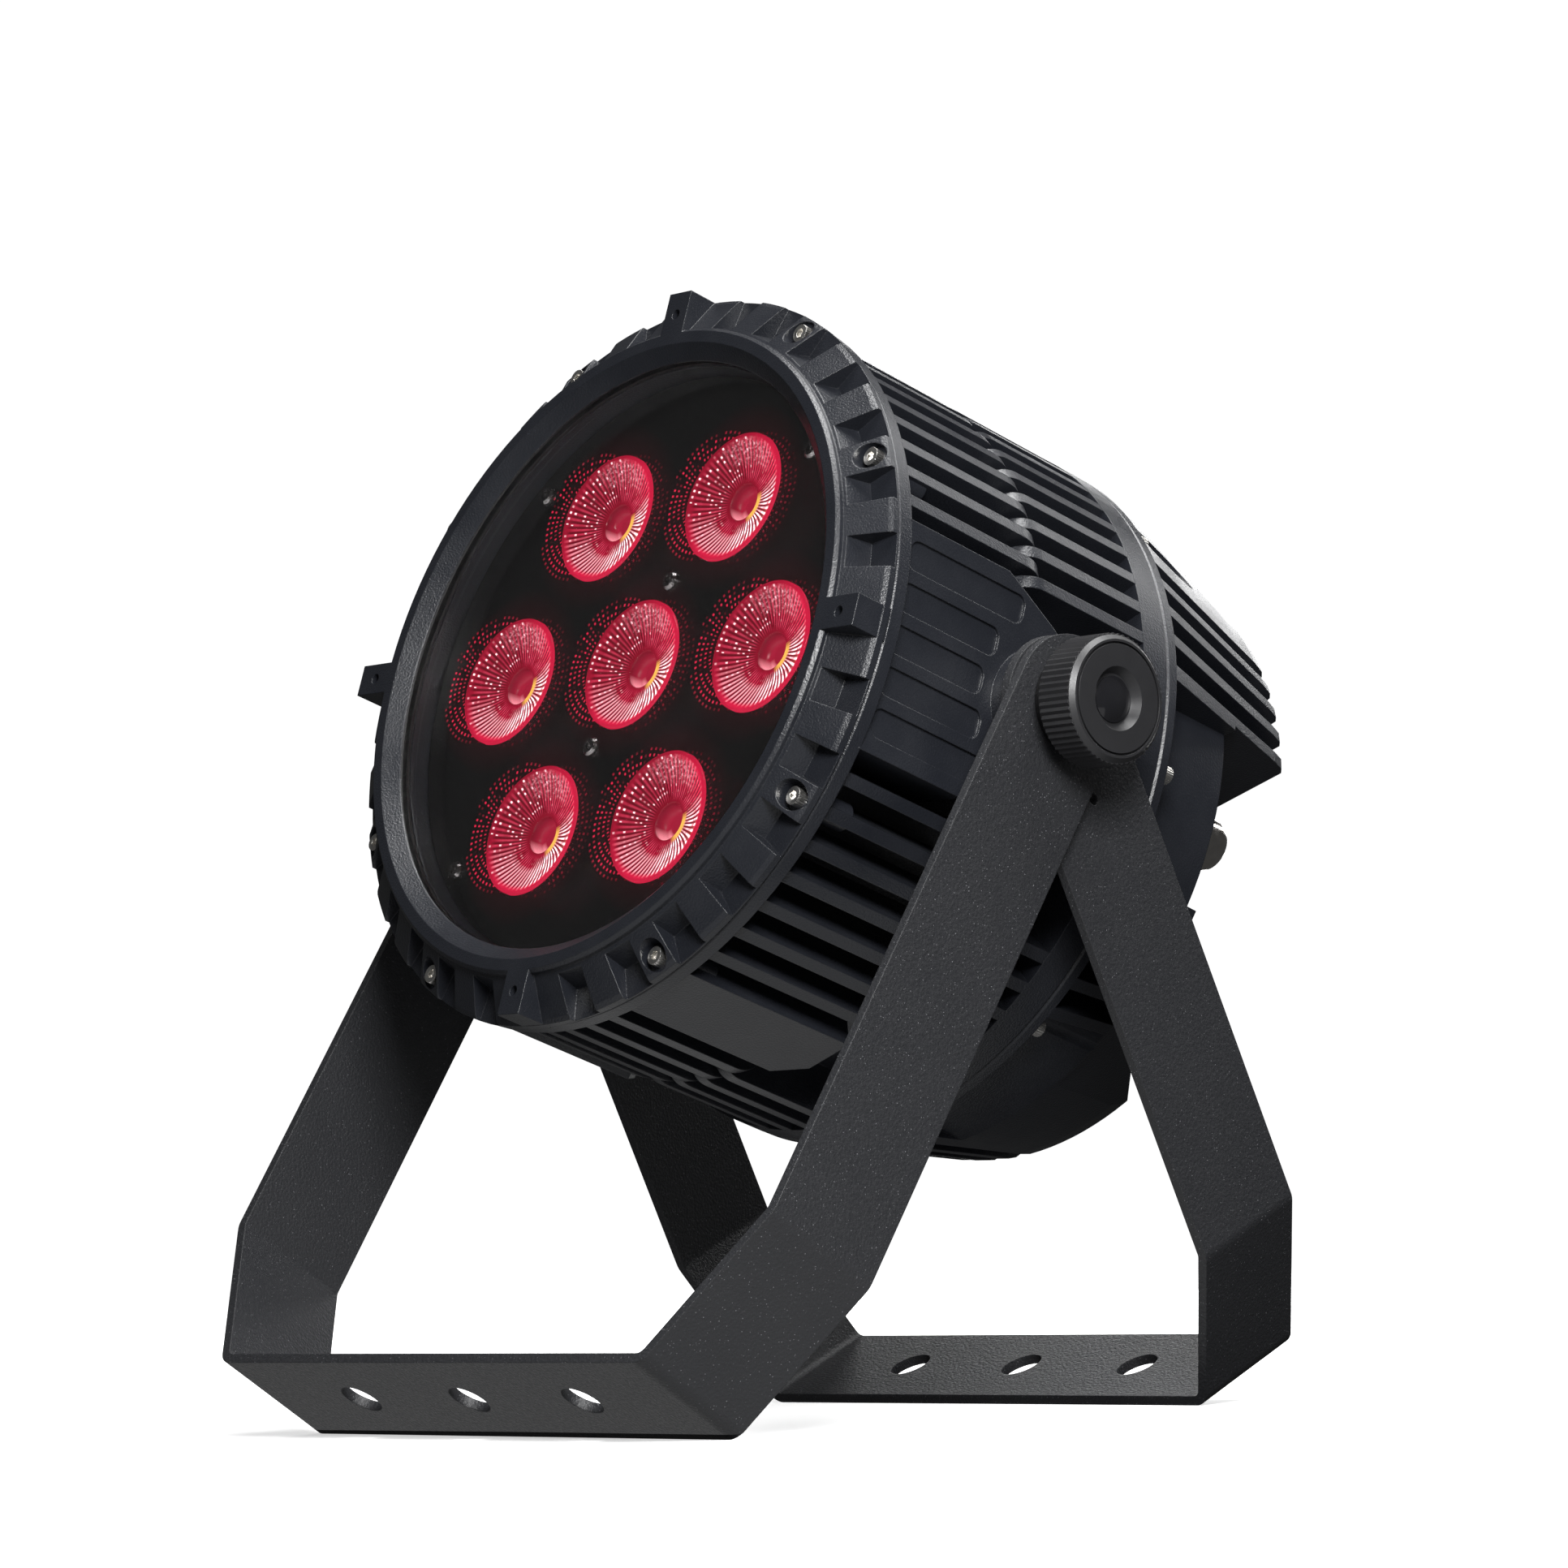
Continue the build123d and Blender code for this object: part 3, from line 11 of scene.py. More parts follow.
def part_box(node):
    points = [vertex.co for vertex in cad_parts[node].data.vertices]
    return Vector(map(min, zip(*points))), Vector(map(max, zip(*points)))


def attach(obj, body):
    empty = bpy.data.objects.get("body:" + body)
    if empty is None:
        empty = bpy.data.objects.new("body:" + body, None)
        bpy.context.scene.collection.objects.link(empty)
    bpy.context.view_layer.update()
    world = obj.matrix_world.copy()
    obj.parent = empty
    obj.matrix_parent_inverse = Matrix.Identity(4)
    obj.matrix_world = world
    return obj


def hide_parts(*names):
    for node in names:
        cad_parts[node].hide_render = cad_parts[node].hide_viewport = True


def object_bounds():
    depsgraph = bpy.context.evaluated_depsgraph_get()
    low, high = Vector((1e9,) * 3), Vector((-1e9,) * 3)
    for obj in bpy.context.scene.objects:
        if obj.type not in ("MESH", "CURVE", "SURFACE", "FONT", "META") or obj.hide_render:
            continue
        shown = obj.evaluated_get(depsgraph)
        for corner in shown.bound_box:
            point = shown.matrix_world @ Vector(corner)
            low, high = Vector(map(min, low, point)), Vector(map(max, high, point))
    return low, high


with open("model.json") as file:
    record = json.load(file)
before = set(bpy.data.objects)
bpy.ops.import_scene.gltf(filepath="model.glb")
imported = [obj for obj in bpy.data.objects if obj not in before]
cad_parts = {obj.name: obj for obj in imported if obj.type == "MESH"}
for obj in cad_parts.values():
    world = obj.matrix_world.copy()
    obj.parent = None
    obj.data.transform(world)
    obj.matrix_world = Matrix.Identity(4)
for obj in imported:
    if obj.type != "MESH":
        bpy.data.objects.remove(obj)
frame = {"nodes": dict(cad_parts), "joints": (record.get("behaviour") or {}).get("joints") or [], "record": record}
nodes = frame["nodes"]
cad_low, cad_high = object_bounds()

MM = 0.001

# ---------------------------------------------------------------- the head's own axes, from the joints
joints = {joint["name"]: joint for joint in frame["joints"]}
TILT_AXIS = Vector(joints["head_tilt"]["pos_m"])
BEAM = Vector(joints["menu_button_1_press"]["axis"]).normalized()
ACROSS = Vector((1, 0, 0))
HEAD_UP = BEAM.cross(ACROSS)
HEAD = Matrix((ACROSS, HEAD_UP, BEAM)).transposed().to_4x4()
HEAD.translation = TILT_AXIS

# ---------------------------------------------------------------- lit lenses
LENS_R = 20.0 * MM
LENS_FACE = 60.4 * MM
LENS_RING = 6
LENS_PITCH = 57.0 * MM
RIBS = 60
STEPS_PER_RIB = 6
BEAD_ROWS = 13
BORE_R = 5.6 * MM
BORE_LIP = -4.6 * MM
BORE_FLOOR = -9.0 * MM
# Painted reflection of each lens on the mask: rows of red dashes shifted beside the lens, and a faint red haze
# round it.
REFLECTION_SHIFT = (-10.0 * MM, 1.5 * MM)
REFLECTION_ROWS = 10
REFLECTION_SIDES = ((1, 0.9), (-0.7, 0.22))   # share of the shift, and strength
REFLECTION_HAZE = 0.012
BORE_SHARE = BORE_R / LENS_R
BORE_EDGE = 0.003
# Colour of the painted reflection on the mask.
RED = (1.0, 0.016, 0.075)
# Painted shade colour for the lens's far side.
SHADE_RED = (0.20, 0.001, 0.012)
LENS_POWER = 1.15
# Extra glow of the painted highlights on the lens.
HIGHLIGHT_POWER = 0.90

# Where each painted highlight and the painted shade sit round a lens, in degrees
WHITE_HIGHLIGHT_SIDE = -35
WARM_HIGHLIGHT_SIDE = -22
GLINT_SIDE = -100
LOW_HIGHLIGHT_SIDE = -110
HAZE_HIGHLIGHT_SIDE = 82
SHADED_SIDE = 145
BEAD_HIGHLIGHT_SIDE = 150

# ---------------------------------------------------------------- camera and studio
CAMERA_PLACE = Vector((1.27875, -1.12701, 0.06816))
CAMERA_BACK = Vector((0.748331, -0.659691, -0.069342))
CAMERA_UP = Vector((0.075144, -0.019555, 0.996981))
CAMERA_LENS = 132.29
SENSOR = 36.0
CLIP = (0.05, 60)
FLOOR_SIZE = 30
FLOOR_FADE = (0.25, 1.3)                 # distances between which the floor's own glow grows
FLOOR_GLOW = (0.55, 1.0)
BACKDROP_RADIUS = 14
CARD_DISTANCE = 1.1
CARD_GLOW = 0.05
WORLD_LIGHT = 0.05
FLOOR_LIGHT = 1.0 * MM                   # height of the light that stands in for the floor's bounce


# ================================================================ node helpers
class Nodes:
    """Short names for building one material's node tree."""

    def __init__(self, name):
        self.material = bpy.data.materials.new(name)
        self.material.use_nodes = True
        self.tree = self.material.node_tree
        self.tree.nodes.clear()
        self.output = self.tree.nodes.new("ShaderNodeOutputMaterial")
        self.shader = self.tree.nodes.new("ShaderNodeBsdfPrincipled")
        self.link(self.shader.outputs[0], self.output.inputs["Surface"])

    def link(self, source, target):
        self.tree.links.new(source, target)

    def add(self, kind, inputs=None, **settings):
        node = self.tree.nodes.new(kind)
        for key, value in settings.items():
            setattr(node, key, value)
        for key, value in (inputs or {}).items():
            if isinstance(value, bpy.types.NodeSocket):
                self.link(value, node.inputs[key])
            else:
                node.inputs[key].default_value = value
        return node

    def math(self, operation, first, second=0.0):
        return self.add("ShaderNodeMath", {0: first, 1: second}, operation=operation).outputs[0]

    def place(self):
        return self.add("ShaderNodeTexCoord").outputs["Object"]

    def head_place(self):
        """Place in the head's own axes: across, up, and forward along the beam."""
        inputs = {"Vector": self.place(), "Location": TILT_AXIS, "Rotation": HEAD.to_euler()}
        return self.add("ShaderNodeMapping", inputs, vector_type="TEXTURE").outputs[0]

    def vector(self, operation, first, second=(0, 0, 0)):
        return self.add("ShaderNodeVectorMath", {0: first, 1: second}, operation=operation).outputs["Vector"]

    def length(self, first):
        return self.add("ShaderNodeVectorMath", {0: first}, operation="LENGTH").outputs["Value"]

    def wrapped(self, first, half):
        """The vector folded into the box from -half to +half."""
        low = tuple(-h for h in half)
        node = self.add("ShaderNodeVectorMath", {0: first, 1: half, 2: low}, operation="WRAP")
        return node.outputs["Vector"]

    def vector_mix(self, factor, first, second):
        node = self.add("ShaderNodeMix", {0: factor, 4: first, 5: second}, data_type="VECTOR")
        return node.outputs[1]

    def dashes(self, flat, share, rows, kept):
        """Short radial dashes, one to a rib in each row; kept is the share of them that shows."""
        parts = self.add("ShaderNodeSeparateXYZ", {"Vector": flat})
        angle = self.math("ARCTAN2", parts.outputs["Y"], parts.outputs["X"])
        rib = self.math("MULTIPLY", angle, RIBS / math.tau)
        row = self.math("MULTIPLY", share, float(rows))
        cell = self.add("ShaderNodeCombineXYZ", {"X": self.math("ROUND", rib), "Y": self.math("ROUND", row)})
        chance = self.add("ShaderNodeTexWhiteNoise", {"Vector": cell.outputs[0]}).outputs["Value"]
        across = self.range(self.math("COSINE", self.math("MULTIPLY", rib, math.tau)), 0.1, 0.8, 0, 1)
        along = self.range(self.math("COSINE", self.math("MULTIPLY", row, math.tau)), -0.1, 0.6, 0, 1)
        return self.math("MULTIPLY", self.math("MULTIPLY", across, along),
                         self.range(chance, 1 - kept, 1 - 0.5 * kept, 0, 1))

    def noise(self, size, detail=3.0, place=None):
        """Noise whose features are about this size in metres."""
        inputs = {"Vector": place or self.place(), "Scale": 1 / size, "Detail": detail}
        return self.add("ShaderNodeTexNoise", inputs).outputs["Fac"]

    def ramp(self, factor, stops):
        node = self.add("ShaderNodeValToRGB", {"Fac": factor})
        elements = node.color_ramp.elements
        while len(elements) < len(stops):
            elements.new(0.5)
        for element, (position, colour) in zip(elements, stops):
            element.position = position
            element.color = (*colour, 1) if len(colour) == 3 else colour
        return node.outputs["Color"]

    def range(self, value, low, high, to_low, to_high):
        node = self.add("ShaderNodeMapRange", {"Value": value, "From Min": low, "From Max": high,
                                               "To Min": to_low, "To Max": to_high})
        return node.outputs["Result"]

    def mix(self, factor, first, second):
        node = self.add("ShaderNodeMix", data_type="RGBA")
        for socket, value in ((node.inputs[0], factor), (node.inputs[6], first), (node.inputs[7], second)):
            if isinstance(value, bpy.types.NodeSocket):
                self.link(value, socket)
            elif isinstance(value, tuple):
                socket.default_value = (*value, 1)
            else:
                socket.default_value = value
        return node.outputs[2]

    def bump(self, height, distance, strength=1.0, rounded=0.0):
        inputs = {"Height": height, "Distance": distance, "Strength": strength}
        if rounded:
            inputs["Normal"] = self.add("ShaderNodeBevel", {"Radius": rounded}, samples=4).outputs[0]
        node = self.add("ShaderNodeBump", inputs)
        self.set(Normal=node.outputs["Normal"])

    def set(self, **values):
        for key, value in values.items():
            socket = self.shader.inputs[key.replace("_", " ")]
            if isinstance(value, bpy.types.NodeSocket):
                self.link(value, socket)
            elif isinstance(value, tuple) and len(value) == 3:
                socket.default_value = (*value, 1)
            else:
                socket.default_value = value


# ================================================================ materials
def cast_paint():
    """Semi-matt blue-black paint on die-cast aluminium, rounded along its edges."""
    n = Nodes("cast_paint")
    cloud = n.noise(14 * MM, 4)
    grain = n.noise(0.60 * MM, 2)
    n.set(Base_Color=n.mix(cloud, (0.0075, 0.0085, 0.0115), (0.0125, 0.0135, 0.0170)))
    n.set(Roughness=n.range(n.math("ADD", n.math("MULTIPLY", grain, 0.4), cloud), 0.4, 1.0, 0.28, 0.40))
    n.set(Specular_IOR_Level=0.5)
    n.bump(grain, 0.16 * MM, 0.8, rounded=0.45 * MM)
    return n.material


def strip_paint():
    """Fine textured black powder coat; lighter specks painted into its colour stand in for a faint sparkle, as
    painted glints.
    """
    n = Nodes("strip_paint")
    place = n.place()
    grain = n.noise(0.85 * MM, 3, place)
    cloud = n.noise(22 * MM, 3, place)
    # Painted glints: sparse lighter specks in the base colour stand in for the coat's sparkle.
    cells = n.add("ShaderNodeTexVoronoi", {"Vector": place, "Scale": 1 / (0.8 * MM)})
    speck = n.ramp(cells.outputs["Distance"], [(0.10, (1, 1, 1)), (0.24, (0, 0, 0))])
    chance = n.ramp(cells.outputs["Color"], [(0.62, (0, 0, 0)), (0.78, (1, 1, 1))])
    sparkle = n.math("MULTIPLY", speck, chance)
    base = n.mix(cloud, (0.0105, 0.0110, 0.0130), (0.0145, 0.0150, 0.0170))
    n.set(Base_Color=n.mix(sparkle, base, (0.14, 0.14, 0.15)))
    n.set(Roughness=n.range(grain, 0.3, 0.7, 0.46, 0.60))
    n.bump(grain, 0.30 * MM, 0.9, rounded=0.5 * MM)
    return n.material


def plastic(name, colour, rough, depth=0.02 * MM, rounded=0.15 * MM):
    n = Nodes(name)
    cloud = n.noise(9 * MM, 3)
    grain = n.noise(0.4 * MM, 2)
    light = tuple(min(1, c * 1.35 + 0.002) for c in colour)
    n.set(Base_Color=n.mix(cloud, colour, light))
    n.set(Roughness=n.range(grain, 0.3, 0.7, rough - 0.04, rough + 0.05))
    n.bump(grain, depth, 0.5, rounded=rounded)
    return n.material


def metal(name, colour, rough):
    n = Nodes(name)
    cloud = n.noise(3 * MM, 4)
    grain = n.noise(0.25 * MM, 2)
    dark = tuple(c * 0.82 for c in colour)
    n.set(Base_Color=n.mix(cloud, dark, colour), Metallic=1.0)
    n.set(Roughness=n.range(cloud, 0.3, 0.7, rough - 0.05, rough + 0.08))
    n.bump(grain, 0.01 * MM, 0.4, rounded=0.12 * MM)
    return n.material


def glass(name, colour):
    n = Nodes(name)
    n.set(Base_Color=colour, Roughness=0.0, IOR=1.5, Transmission_Weight=1.0)
    return n.material


def gloss_mask():
    """Satin black plate, with a painted reflection of every lens beside it: rows of faint red dashes and a faint
    red haze that glow.
    """
    n = Nodes("gloss_mask")
    cloud = n.noise(30 * MM, 2)
    n.set(Base_Color=n.mix(cloud, (0.0020, 0.0018, 0.0020), (0.0035, 0.0030, 0.0032)))
    n.set(Roughness=n.range(cloud, 0.3, 0.7, 0.16, 0.22))

    flat = n.vector("MULTIPLY", n.head_place(), (1, 1, 0))
    wide, tall = LENS_PITCH, LENS_PITCH * math.sqrt(3)
    half, centre = (wide / 2, tall / 2, 0.5), (wide / 2, tall / 2, 0)
    even = n.wrapped(flat, half)
    odd = n.wrapped(n.vector("SUBTRACT", flat, centre), half)
    nearer = n.math("LESS_THAN", n.length(even), n.length(odd))
    beside = n.vector_mix(nearer, odd, even)
    real = n.math("LESS_THAN", n.length(n.vector("SUBTRACT", flat, beside)), 1.1 * LENS_PITCH)
    outside = n.range(n.length(beside), LENS_R, 1.01 * LENS_R, 0, 1)
    total = 0.0
    # Painted reflection: the lens's rows of dashes, shifted beside it, glow red on the plate.
    for side, strength in REFLECTION_SIDES:
        moved = n.vector("SUBTRACT", beside, (side * REFLECTION_SHIFT[0], side * REFLECTION_SHIFT[1], 0))
        share = n.math("DIVIDE", n.length(moved), LENS_R)
        painted_light_dots = n.dashes(moved, share, REFLECTION_ROWS, 0.90)
        ring = n.math("MULTIPLY", n.range(share, 0.45, 0.62, 0, 1), n.range(share, 1.05, 0.92, 0, 1))
        total = n.math("ADD", total, n.math("MULTIPLY", n.math("MULTIPLY", painted_light_dots, ring), strength))
    # Painted red haze round each lens.
    painted_haze = n.math("MULTIPLY", n.range(n.length(beside), LENS_R, 1.5 * LENS_R, 1, 0), REFLECTION_HAZE)
    total = n.math("ADD", total, painted_haze)
    n.set(Emission_Color=RED, Emission_Strength=n.math("MULTIPLY", total, n.math("MULTIPLY", real, outside)))
    return n.material


def circuit(name, colour, line_colour):
    """Solder mask with printed tracks."""
    n = Nodes(name)
    place = n.place()
    tracks = n.add("ShaderNodeTexBrick", {"Vector": place, "Scale": 160.0, "Mortar Size": 0.06,
                                          "Color1": (0, 0, 0, 1), "Color2": (0, 0, 0, 1),
                                          "Mortar": (1, 1, 1, 1)})
    n.set(Base_Color=n.mix(tracks.outputs["Color"], colour, line_colour), Roughness=0.35)
    n.bump(n.noise(0.6 * MM, 2, place), 0.02 * MM, 0.4)
    return n.material


def lit_lens():
    """Red light caught in a clear fluted collimator: streaks along the ribs and a dark middle, with painted
    highlights (white streaks, white beads, a pale haze, a warm sliver, a glint in the bore) and painted shade on
    the far side.
    """
    n = Nodes("lit_lens")
    place = n.place()
    parts = n.add("ShaderNodeSeparateXYZ", {"Vector": place})
    x, y, z = parts.outputs["X"], parts.outputs["Y"], parts.outputs["Z"]
    flat = n.vector("MULTIPLY", place, (1, 1, 0))
    share = n.math("DIVIDE", n.length(flat), LENS_R)
    angle = n.math("ARCTAN2", y, x)
    wave = n.math("COSINE", n.math("MULTIPLY", angle, float(RIBS)))
    crest = n.range(wave, -0.2, 0.8, 0, 1)
    around = n.vector("ADD", n.vector("MULTIPLY", n.vector("NORMALIZE", flat), (4.5, 4.5, 0)),
                      n.add("ShaderNodeCombineXYZ", {"Z": n.math("MULTIPLY", share, 6.0)}).outputs[0])
    streak_noise = n.add("ShaderNodeTexNoise", {"Vector": around, "Scale": 1.0, "Detail": 4.0})
    streak = n.range(streak_noise.outputs["Fac"], 0.38, 0.62, 0, 1)
    beads = n.dashes(flat, share, BEAD_ROWS, 0.38)
    snow = n.range(n.noise(0.9 * MM, 3, place), 0.50, 0.62, 0, 1)

    def toward(degrees, narrow, wide):
        """1 within narrow degrees of a direction, fading to 0 at wide degrees."""
        turn = n.math("COSINE", n.math("SUBTRACT", angle, math.radians(degrees)))
        return n.range(turn, math.cos(math.radians(wide)), math.cos(math.radians(narrow)), 0, 1)

    def band(start, full, fade, end):
        return n.math("MULTIPLY", n.range(share, start, full, 0, 1), n.range(share, end, fade, 0, 1))

    def all_of(*factors):
        total = factors[0]
        for factor in factors[1:]:
            total = n.math("MULTIPLY", total, factor)
        return total

    bowl = n.ramp(share, [(0.0, (0.30, 0.004, 0.03)), (BORE_SHARE, (0.22, 0.001, 0.014)),
                          (0.36, (0.36, 0.002, 0.025)), (0.62, (0.58, 0.004, 0.040)),
                          (0.88, (0.82, 0.010, 0.065)), (0.97, (0.58, 0.008, 0.045))])
    # Painted shade: the far side of the lens darkens towards deep red.
    colour = n.mix(n.math("MULTIPLY", toward(SHADED_SIDE, 35, 100), 0.85), bowl, SHADE_RED)
    trough = n.math("MULTIPLY", n.range(wave, 0.4, -0.8, 0, 0.92), band(0.32, 0.40, 0.86, 0.92))
    colour = n.mix(trough, colour, (0.09, 0.0, 0.005))
    # Red streaks along the rib crests, weaker on the far side: painted shade.
    pink = all_of(crest, streak, band(0.32, 0.40, 0.90, 0.95),
                  n.range(toward(SHADED_SIDE, 20, 90), 0, 1, 0.75, 0.30))
    colour = n.mix(pink, colour, (1.0, 0.08, 0.17))
    # Painted highlight: a pale pink haze near the top of the lens.
    painted_haze = all_of(toward(HAZE_HIGHLIGHT_SIDE, 12, 48), band(0.55, 0.68, 0.88, 0.95), n.range(snow, 0, 1, 0.05, 0.55))
    colour = n.mix(painted_haze, colour, (1.0, 0.42, 0.50))
    # Painted highlight: short pale streaks on the low side of the lens.
    low = all_of(toward(LOW_HIGHLIGHT_SIDE, 18, 55), band(0.52, 0.60, 0.84, 0.92), n.range(wave, -0.3, 0.5, 0, 1), 0.85)
    colour = n.mix(low, colour, (1.0, 0.48, 0.55))
    # Painted highlights: white beads, strongest on the far side.
    painted_light_dots = all_of(beads, band(0.40, 0.46, 0.93, 0.96), n.range(toward(BEAD_HIGHLIGHT_SIDE, 30, 95), 0, 1, 0.15, 1))
    colour = n.mix(painted_light_dots, colour, (1.0, 0.66, 0.72))
    # Painted highlight: white streaks along the ribs on the lower right.
    white = all_of(toward(WHITE_HIGHLIGHT_SIDE, 25, 58), band(0.36, 0.46, 0.90, 0.95), n.range(wave, -0.2, 0.6, 0, 1),
                   n.range(streak, 0, 0.7, 0.30, 1.0))
    colour = n.mix(white, colour, (1.0, 0.84, 0.88))
    # Painted highlight: a warm orange sliver just outside the bore, lower right.
    warm_highlight = all_of(toward(WARM_HIGHLIGHT_SIDE, 22, 42), band(0.285, 0.30, 0.37, 0.41))
    colour = n.mix(warm_highlight, colour, (1.0, 0.55, 0.10))
    inside = n.range(share, BORE_SHARE + BORE_EDGE, BORE_SHARE - BORE_EDGE, 0, 1)
    depth = n.range(z, BORE_FLOOR, BORE_LIP, 0, 1)
    well = n.mix(depth, (0.36, 0.01, 0.035), (0.13, 0.002, 0.010))
    colour = n.mix(inside, colour, well)
    # Painted glint: a pinkish sliver low inside the bore.
    glint = all_of(inside, toward(GLINT_SIDE, 30, 70), n.range(share, 0.12, 0.2, 0, 1))
    colour = n.mix(glint, colour, (1.0, 0.30, 0.36))

    # The painted highlights glow brighter than the rest of the lens.
    highlight_boost = n.math("MULTIPLY", n.math("MAXIMUM", white, painted_light_dots), HIGHLIGHT_POWER)
    power = n.math("ADD", LENS_POWER, highlight_boost)
    cloud = n.noise(5 * MM, 2)
    n.set(Base_Color=n.mix(cloud, (0.030, 0.001, 0.004), (0.050, 0.002, 0.006)), Roughness=0.22)
    n.set(Emission_Color=colour, Emission_Strength=power, Specular_IOR_Level=0.12)
    return n.material


def led_light():
    n = Nodes("led_light")
    cloud = n.noise(1.5 * MM, 2)
    n.set(Base_Color=(0.6, 0.02, 0.03), Roughness=0.3)
    n.set(Emission_Color=n.mix(cloud, (1, 0.02, 0.05), (1, 0.10, 0.12)), Emission_Strength=3.0)
    return n.material


def floor_white():
    n = Nodes("floor_white")
    n.set(Base_Color=n.mix(n.noise(0.4, 2), (0.80, 0.80, 0.80), (0.82, 0.82, 0.82)), Roughness=0.8)
    glow = n.range(n.length(n.place()), *FLOOR_FADE, *FLOOR_GLOW)
    n.set(Specular_IOR_Level=0.1, Emission_Color=(1.0, 1.0, 1.0), Emission_Strength=glow)
    return n.material


def backdrop_white():
    n = Nodes("backdrop_white")
    n.set(Base_Color=(0.9, 0.9, 0.9), Emission_Color=(1.0, 1.0, 1.0), Emission_Strength=1.0)
    return n.material


def card_grey():
    n = Nodes("card_grey")
    n.set(Base_Color=(0.0, 0.0, 0.0), Roughness=1.0, Specular_IOR_Level=0.0)
    n.set(Emission_Color=(1.0, 1.0, 1.0), Emission_Strength=CARD_GLOW)
    return n.material


paint = {
    "head_paint": cast_paint(),
    "bracket_paint": strip_paint(),
    "knob_plastic": plastic("knob_plastic", (0.010, 0.010, 0.011), 0.42),
    "knob_cap_gloss": plastic("knob_cap_gloss", (0.006, 0.006, 0.007), 0.09, depth=0.001 * MM, rounded=0),
    "stainless": metal("stainless", (0.86, 0.84, 0.80), 0.30),
    "black_steel": metal("black_steel", (0.05, 0.05, 0.052), 0.38),
    "dark_steel": metal("dark_steel", (0.16, 0.15, 0.15), 0.22),
    "brass_insert": metal("brass_insert", (0.72, 0.52, 0.24), 0.30),
    "nylon": plastic("nylon", (0.014, 0.014, 0.014), 0.45),
    "nickel": metal("nickel", (0.78, 0.75, 0.71), 0.14),
    "rubber": plastic("rubber", (0.012, 0.012, 0.012), 0.7),
    "clear_glass": glass("clear_glass", (0.985, 0.99, 0.99)),
    "mask_black": gloss_mask(),
    "lens_clear": lit_lens(),
    "lens_holder": plastic("lens_holder", (0.012, 0.012, 0.012), 0.5),
    "board_white": circuit("board_white", (0.62, 0.62, 0.60), (0.50, 0.50, 0.48)),
    "led_red": led_light(),
    "window_dark": glass("window_dark", (0.22, 0.22, 0.24)),
    "display_part": plastic("display_part", (0.006, 0.006, 0.008), 0.25),
    "menu_buttons": plastic("menu_buttons", (0.016, 0.016, 0.017), 0.5),
    "board_green": circuit("board_green", (0.010, 0.13, 0.05), (0.03, 0.20, 0.08)),
    "capacitor_black": plastic("capacitor_black", (0.015, 0.015, 0.022), 0.35),
    "ferrite": plastic("ferrite", (0.05, 0.045, 0.03), 0.6),
    "switch_black": plastic("switch_black", (0.015, 0.015, 0.015), 0.5),
}

for entry in frame["record"]["subparts"]:
    mesh = nodes[entry["node"]].data
    mesh.materials.clear()
    mesh.materials.append(paint[entry["material_slot"]])
nodes["mask_screws"].data.materials[0] = paint["dark_steel"]


# ================================================================ lenses
def rib_depth(share):
    """How deep the ribs are at this share of the lens radius."""
    return 0.42 * MM * max(0.0, math.sin(math.pi * min(1.0, max(0.0, (share - 0.30) / 0.64))))


def lens_profile():
    """Radius and height of the lens surface, from the middle of the bore out to the edge of the rim."""
    rim_start, bowl_steps = 18.7 * MM, 18
    profile = [(0.0, BORE_FLOOR + 0.8 * MM), (0.45 * BORE_R, BORE_FLOOR + 0.6 * MM),
               (0.9 * BORE_R, BORE_FLOOR), (0.985 * BORE_R, BORE_LIP - 2.0 * MM),
               (BORE_R, BORE_LIP - 0.3 * MM), (BORE_R + 0.5 * MM, BORE_LIP)]
    for step in range(1, bowl_steps + 1):
        t = step / bowl_steps
        radius = BORE_R + 0.5 * MM + (rim_start - BORE_R - 0.5 * MM) * t
        profile.append((radius, BORE_LIP * (1 - t ** 1.35)))
    profile += [(19.0 * MM, 0.0), (19.7 * MM, -0.02 * MM), (LENS_R, -0.3 * MM), (LENS_R, -1.6 * MM)]
    return profile


def lens_mesh():
    around = RIBS * STEPS_PER_RIB
    shape = bmesh.new()
    rings = []
    for radius, height in lens_profile():
        if radius == 0:
            rings.append([shape.verts.new((0, 0, height))])
            continue
        depth = rib_depth(radius / LENS_R)
        ring = []
        for i in range(around):
            a = 2 * math.pi * i / around
            lift = depth * (math.cos(RIBS * a) - 1) / 2
            ring.append(shape.verts.new((radius * math.cos(a), radius * math.sin(a), height + lift)))
        rings.append(ring)
    for inner, outer in zip(rings[:-1], rings[1:]):
        for i in range(around):
            j = (i + 1) % around
            if len(inner) == 1:
                shape.faces.new((inner[0], outer[i], outer[j]))
            else:
                shape.faces.new((inner[i], outer[i], outer[j], inner[j]))
    for face in shape.faces:
        face.smooth = True
    mesh = bpy.data.meshes.new("lens")
    shape.to_mesh(mesh)
    shape.free()
    return mesh


def lens_places():
    ring = [(LENS_PITCH * math.cos(math.tau * i / LENS_RING), LENS_PITCH * math.sin(math.tau * i / LENS_RING))
            for i in range(LENS_RING)]
    return [(0.0, 0.0)] + ring


def build_lenses():
    mesh = lens_mesh()
    mesh.materials.append(paint["lens_clear"])
    for i, (u, v) in enumerate(lens_places()):
        lens = bpy.data.objects.new(f"lit_lens_{i}", mesh)
        bpy.context.scene.collection.objects.link(lens)
        lens.matrix_world = HEAD @ Matrix.Translation((u, v, LENS_FACE))
        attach(lens, "head")
        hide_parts("tir_lenses")


build_lenses()


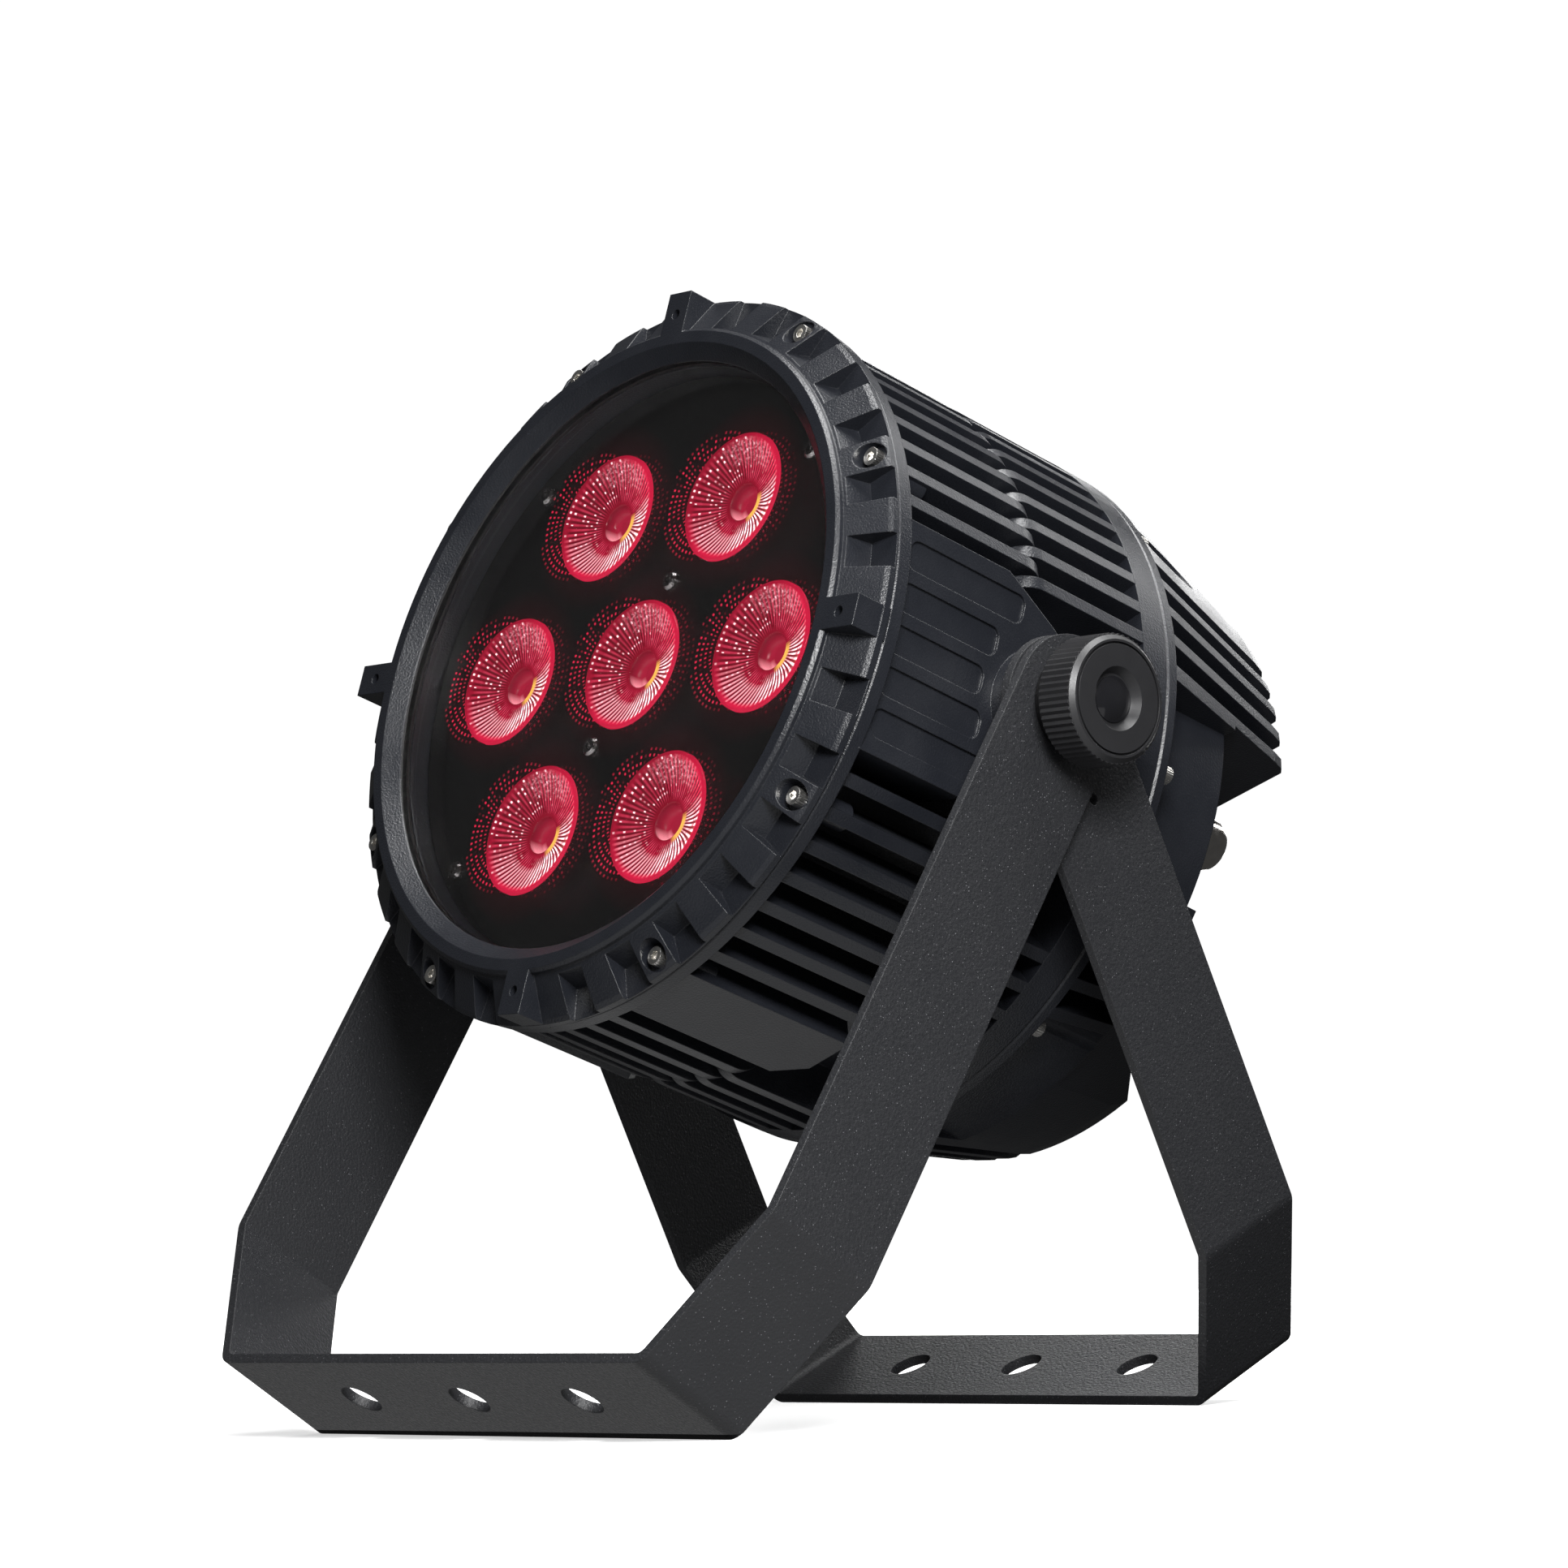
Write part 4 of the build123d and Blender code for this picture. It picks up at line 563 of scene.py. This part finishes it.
# ================================================================ studio
def area_light(name, place, target, width, height, power):
    """A soft panel at a place, aimed at a target; metres and watts."""
    data = bpy.data.lights.new(name, "AREA")
    data.shape = "RECTANGLE"
    data.size, data.size_y = width, height
    data.energy = power
    light = bpy.data.objects.new(name, data)
    light.location = place
    light.rotation_euler = (Vector(target) - Vector(place)).to_track_quat("-Z", "Y").to_euler()
    light.visible_camera = False
    bpy.context.scene.collection.objects.link(light)


def floor():
    bpy.ops.mesh.primitive_plane_add(size=FLOOR_SIZE)
    plane = bpy.context.object
    plane.name = "floor"
    plane.location = (0, 0, cad_low.z)
    plane.data.materials.append(floor_white())
    plane.visible_diffuse = False
    plane.visible_glossy = False
    return plane


def backdrop():
    bpy.ops.mesh.primitive_uv_sphere_add(radius=BACKDROP_RADIUS, segments=64, ring_count=32)
    sphere = bpy.context.object
    sphere.name = "backdrop"
    sphere.data.materials.append(backdrop_white())
    for ray in ("diffuse", "glossy", "transmission", "shadow"):
        setattr(sphere, f"visible_{ray}", False)
    return sphere


def dark_card():
    """A dark card that only mirrors see, where the front glass would otherwise mirror the bright room."""
    bpy.ops.mesh.primitive_plane_add(size=1)
    card = bpy.context.object
    card.name = "dark_card"
    mirror_way = (2 * BEAM * BEAM.dot(CAMERA_BACK) - CAMERA_BACK).normalized()
    glass_low, glass_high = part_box("front_glass")
    card.location = (glass_low + glass_high) / 2 + mirror_way * CARD_DISTANCE
    card.rotation_euler = (-mirror_way).to_track_quat("Z", "Y").to_euler()
    card.data.materials.append(card_grey())
    for ray in ("camera", "diffuse", "shadow", "volume_scatter"):
        setattr(card, f"visible_{ray}", False)
    return card


def lights():
    world = bpy.data.worlds.new("studio")
    bpy.context.scene.world = world
    world.use_nodes = True
    background = world.node_tree.nodes["Background"]
    background.inputs["Color"].default_value = (1, 1, 1, 1)
    background.inputs["Strength"].default_value = WORLD_LIGHT

    area_light("top_soft", (0.25, 0.15, 1.6), (0, 0, 0.2), 0.9, 0.9, 36)
    area_light("right_soft", (0.85, -0.55, 0.62), (0.1, -0.08, 0.15), 0.40, 0.40, 22)
    area_light("left_rim", (-1.4, 1.3, 0.9), (0, 0, 0.2), 0.4, 1.2, 5)
    area_light("rear_rim", (0.15, 1.3, 1.1), (0.05, 0.1, 0.25), 0.3, 1.2, 6)
    area_light("back_soft", (-0.9, 1.3, 0.35), (0, 0.1, 0.2), 0.8, 0.8, 9)
    area_light("floor_bounce", (0.30, -0.40, FLOOR_LIGHT), (0.30, -0.40, 1.0), 0.9, 0.9, 1.2)


def camera():
    data = bpy.data.cameras.new("camera")
    data.lens = CAMERA_LENS
    data.sensor_width = SENSOR
    data.clip_start, data.clip_end = CLIP
    shape = bpy.data.objects.new("camera", data)
    bpy.context.scene.collection.objects.link(shape)
    back = CAMERA_BACK.normalized()
    right = CAMERA_UP.cross(back).normalized()
    up = back.cross(right)
    matrix = Matrix((right, up, back)).transposed().to_4x4()
    matrix.translation = CAMERA_PLACE
    shape.matrix_world = matrix
    bpy.context.scene.camera = shape


floor()
backdrop()
dark_card()
lights()
camera()
bpy.context.scene.view_settings.view_transform = "Standard"
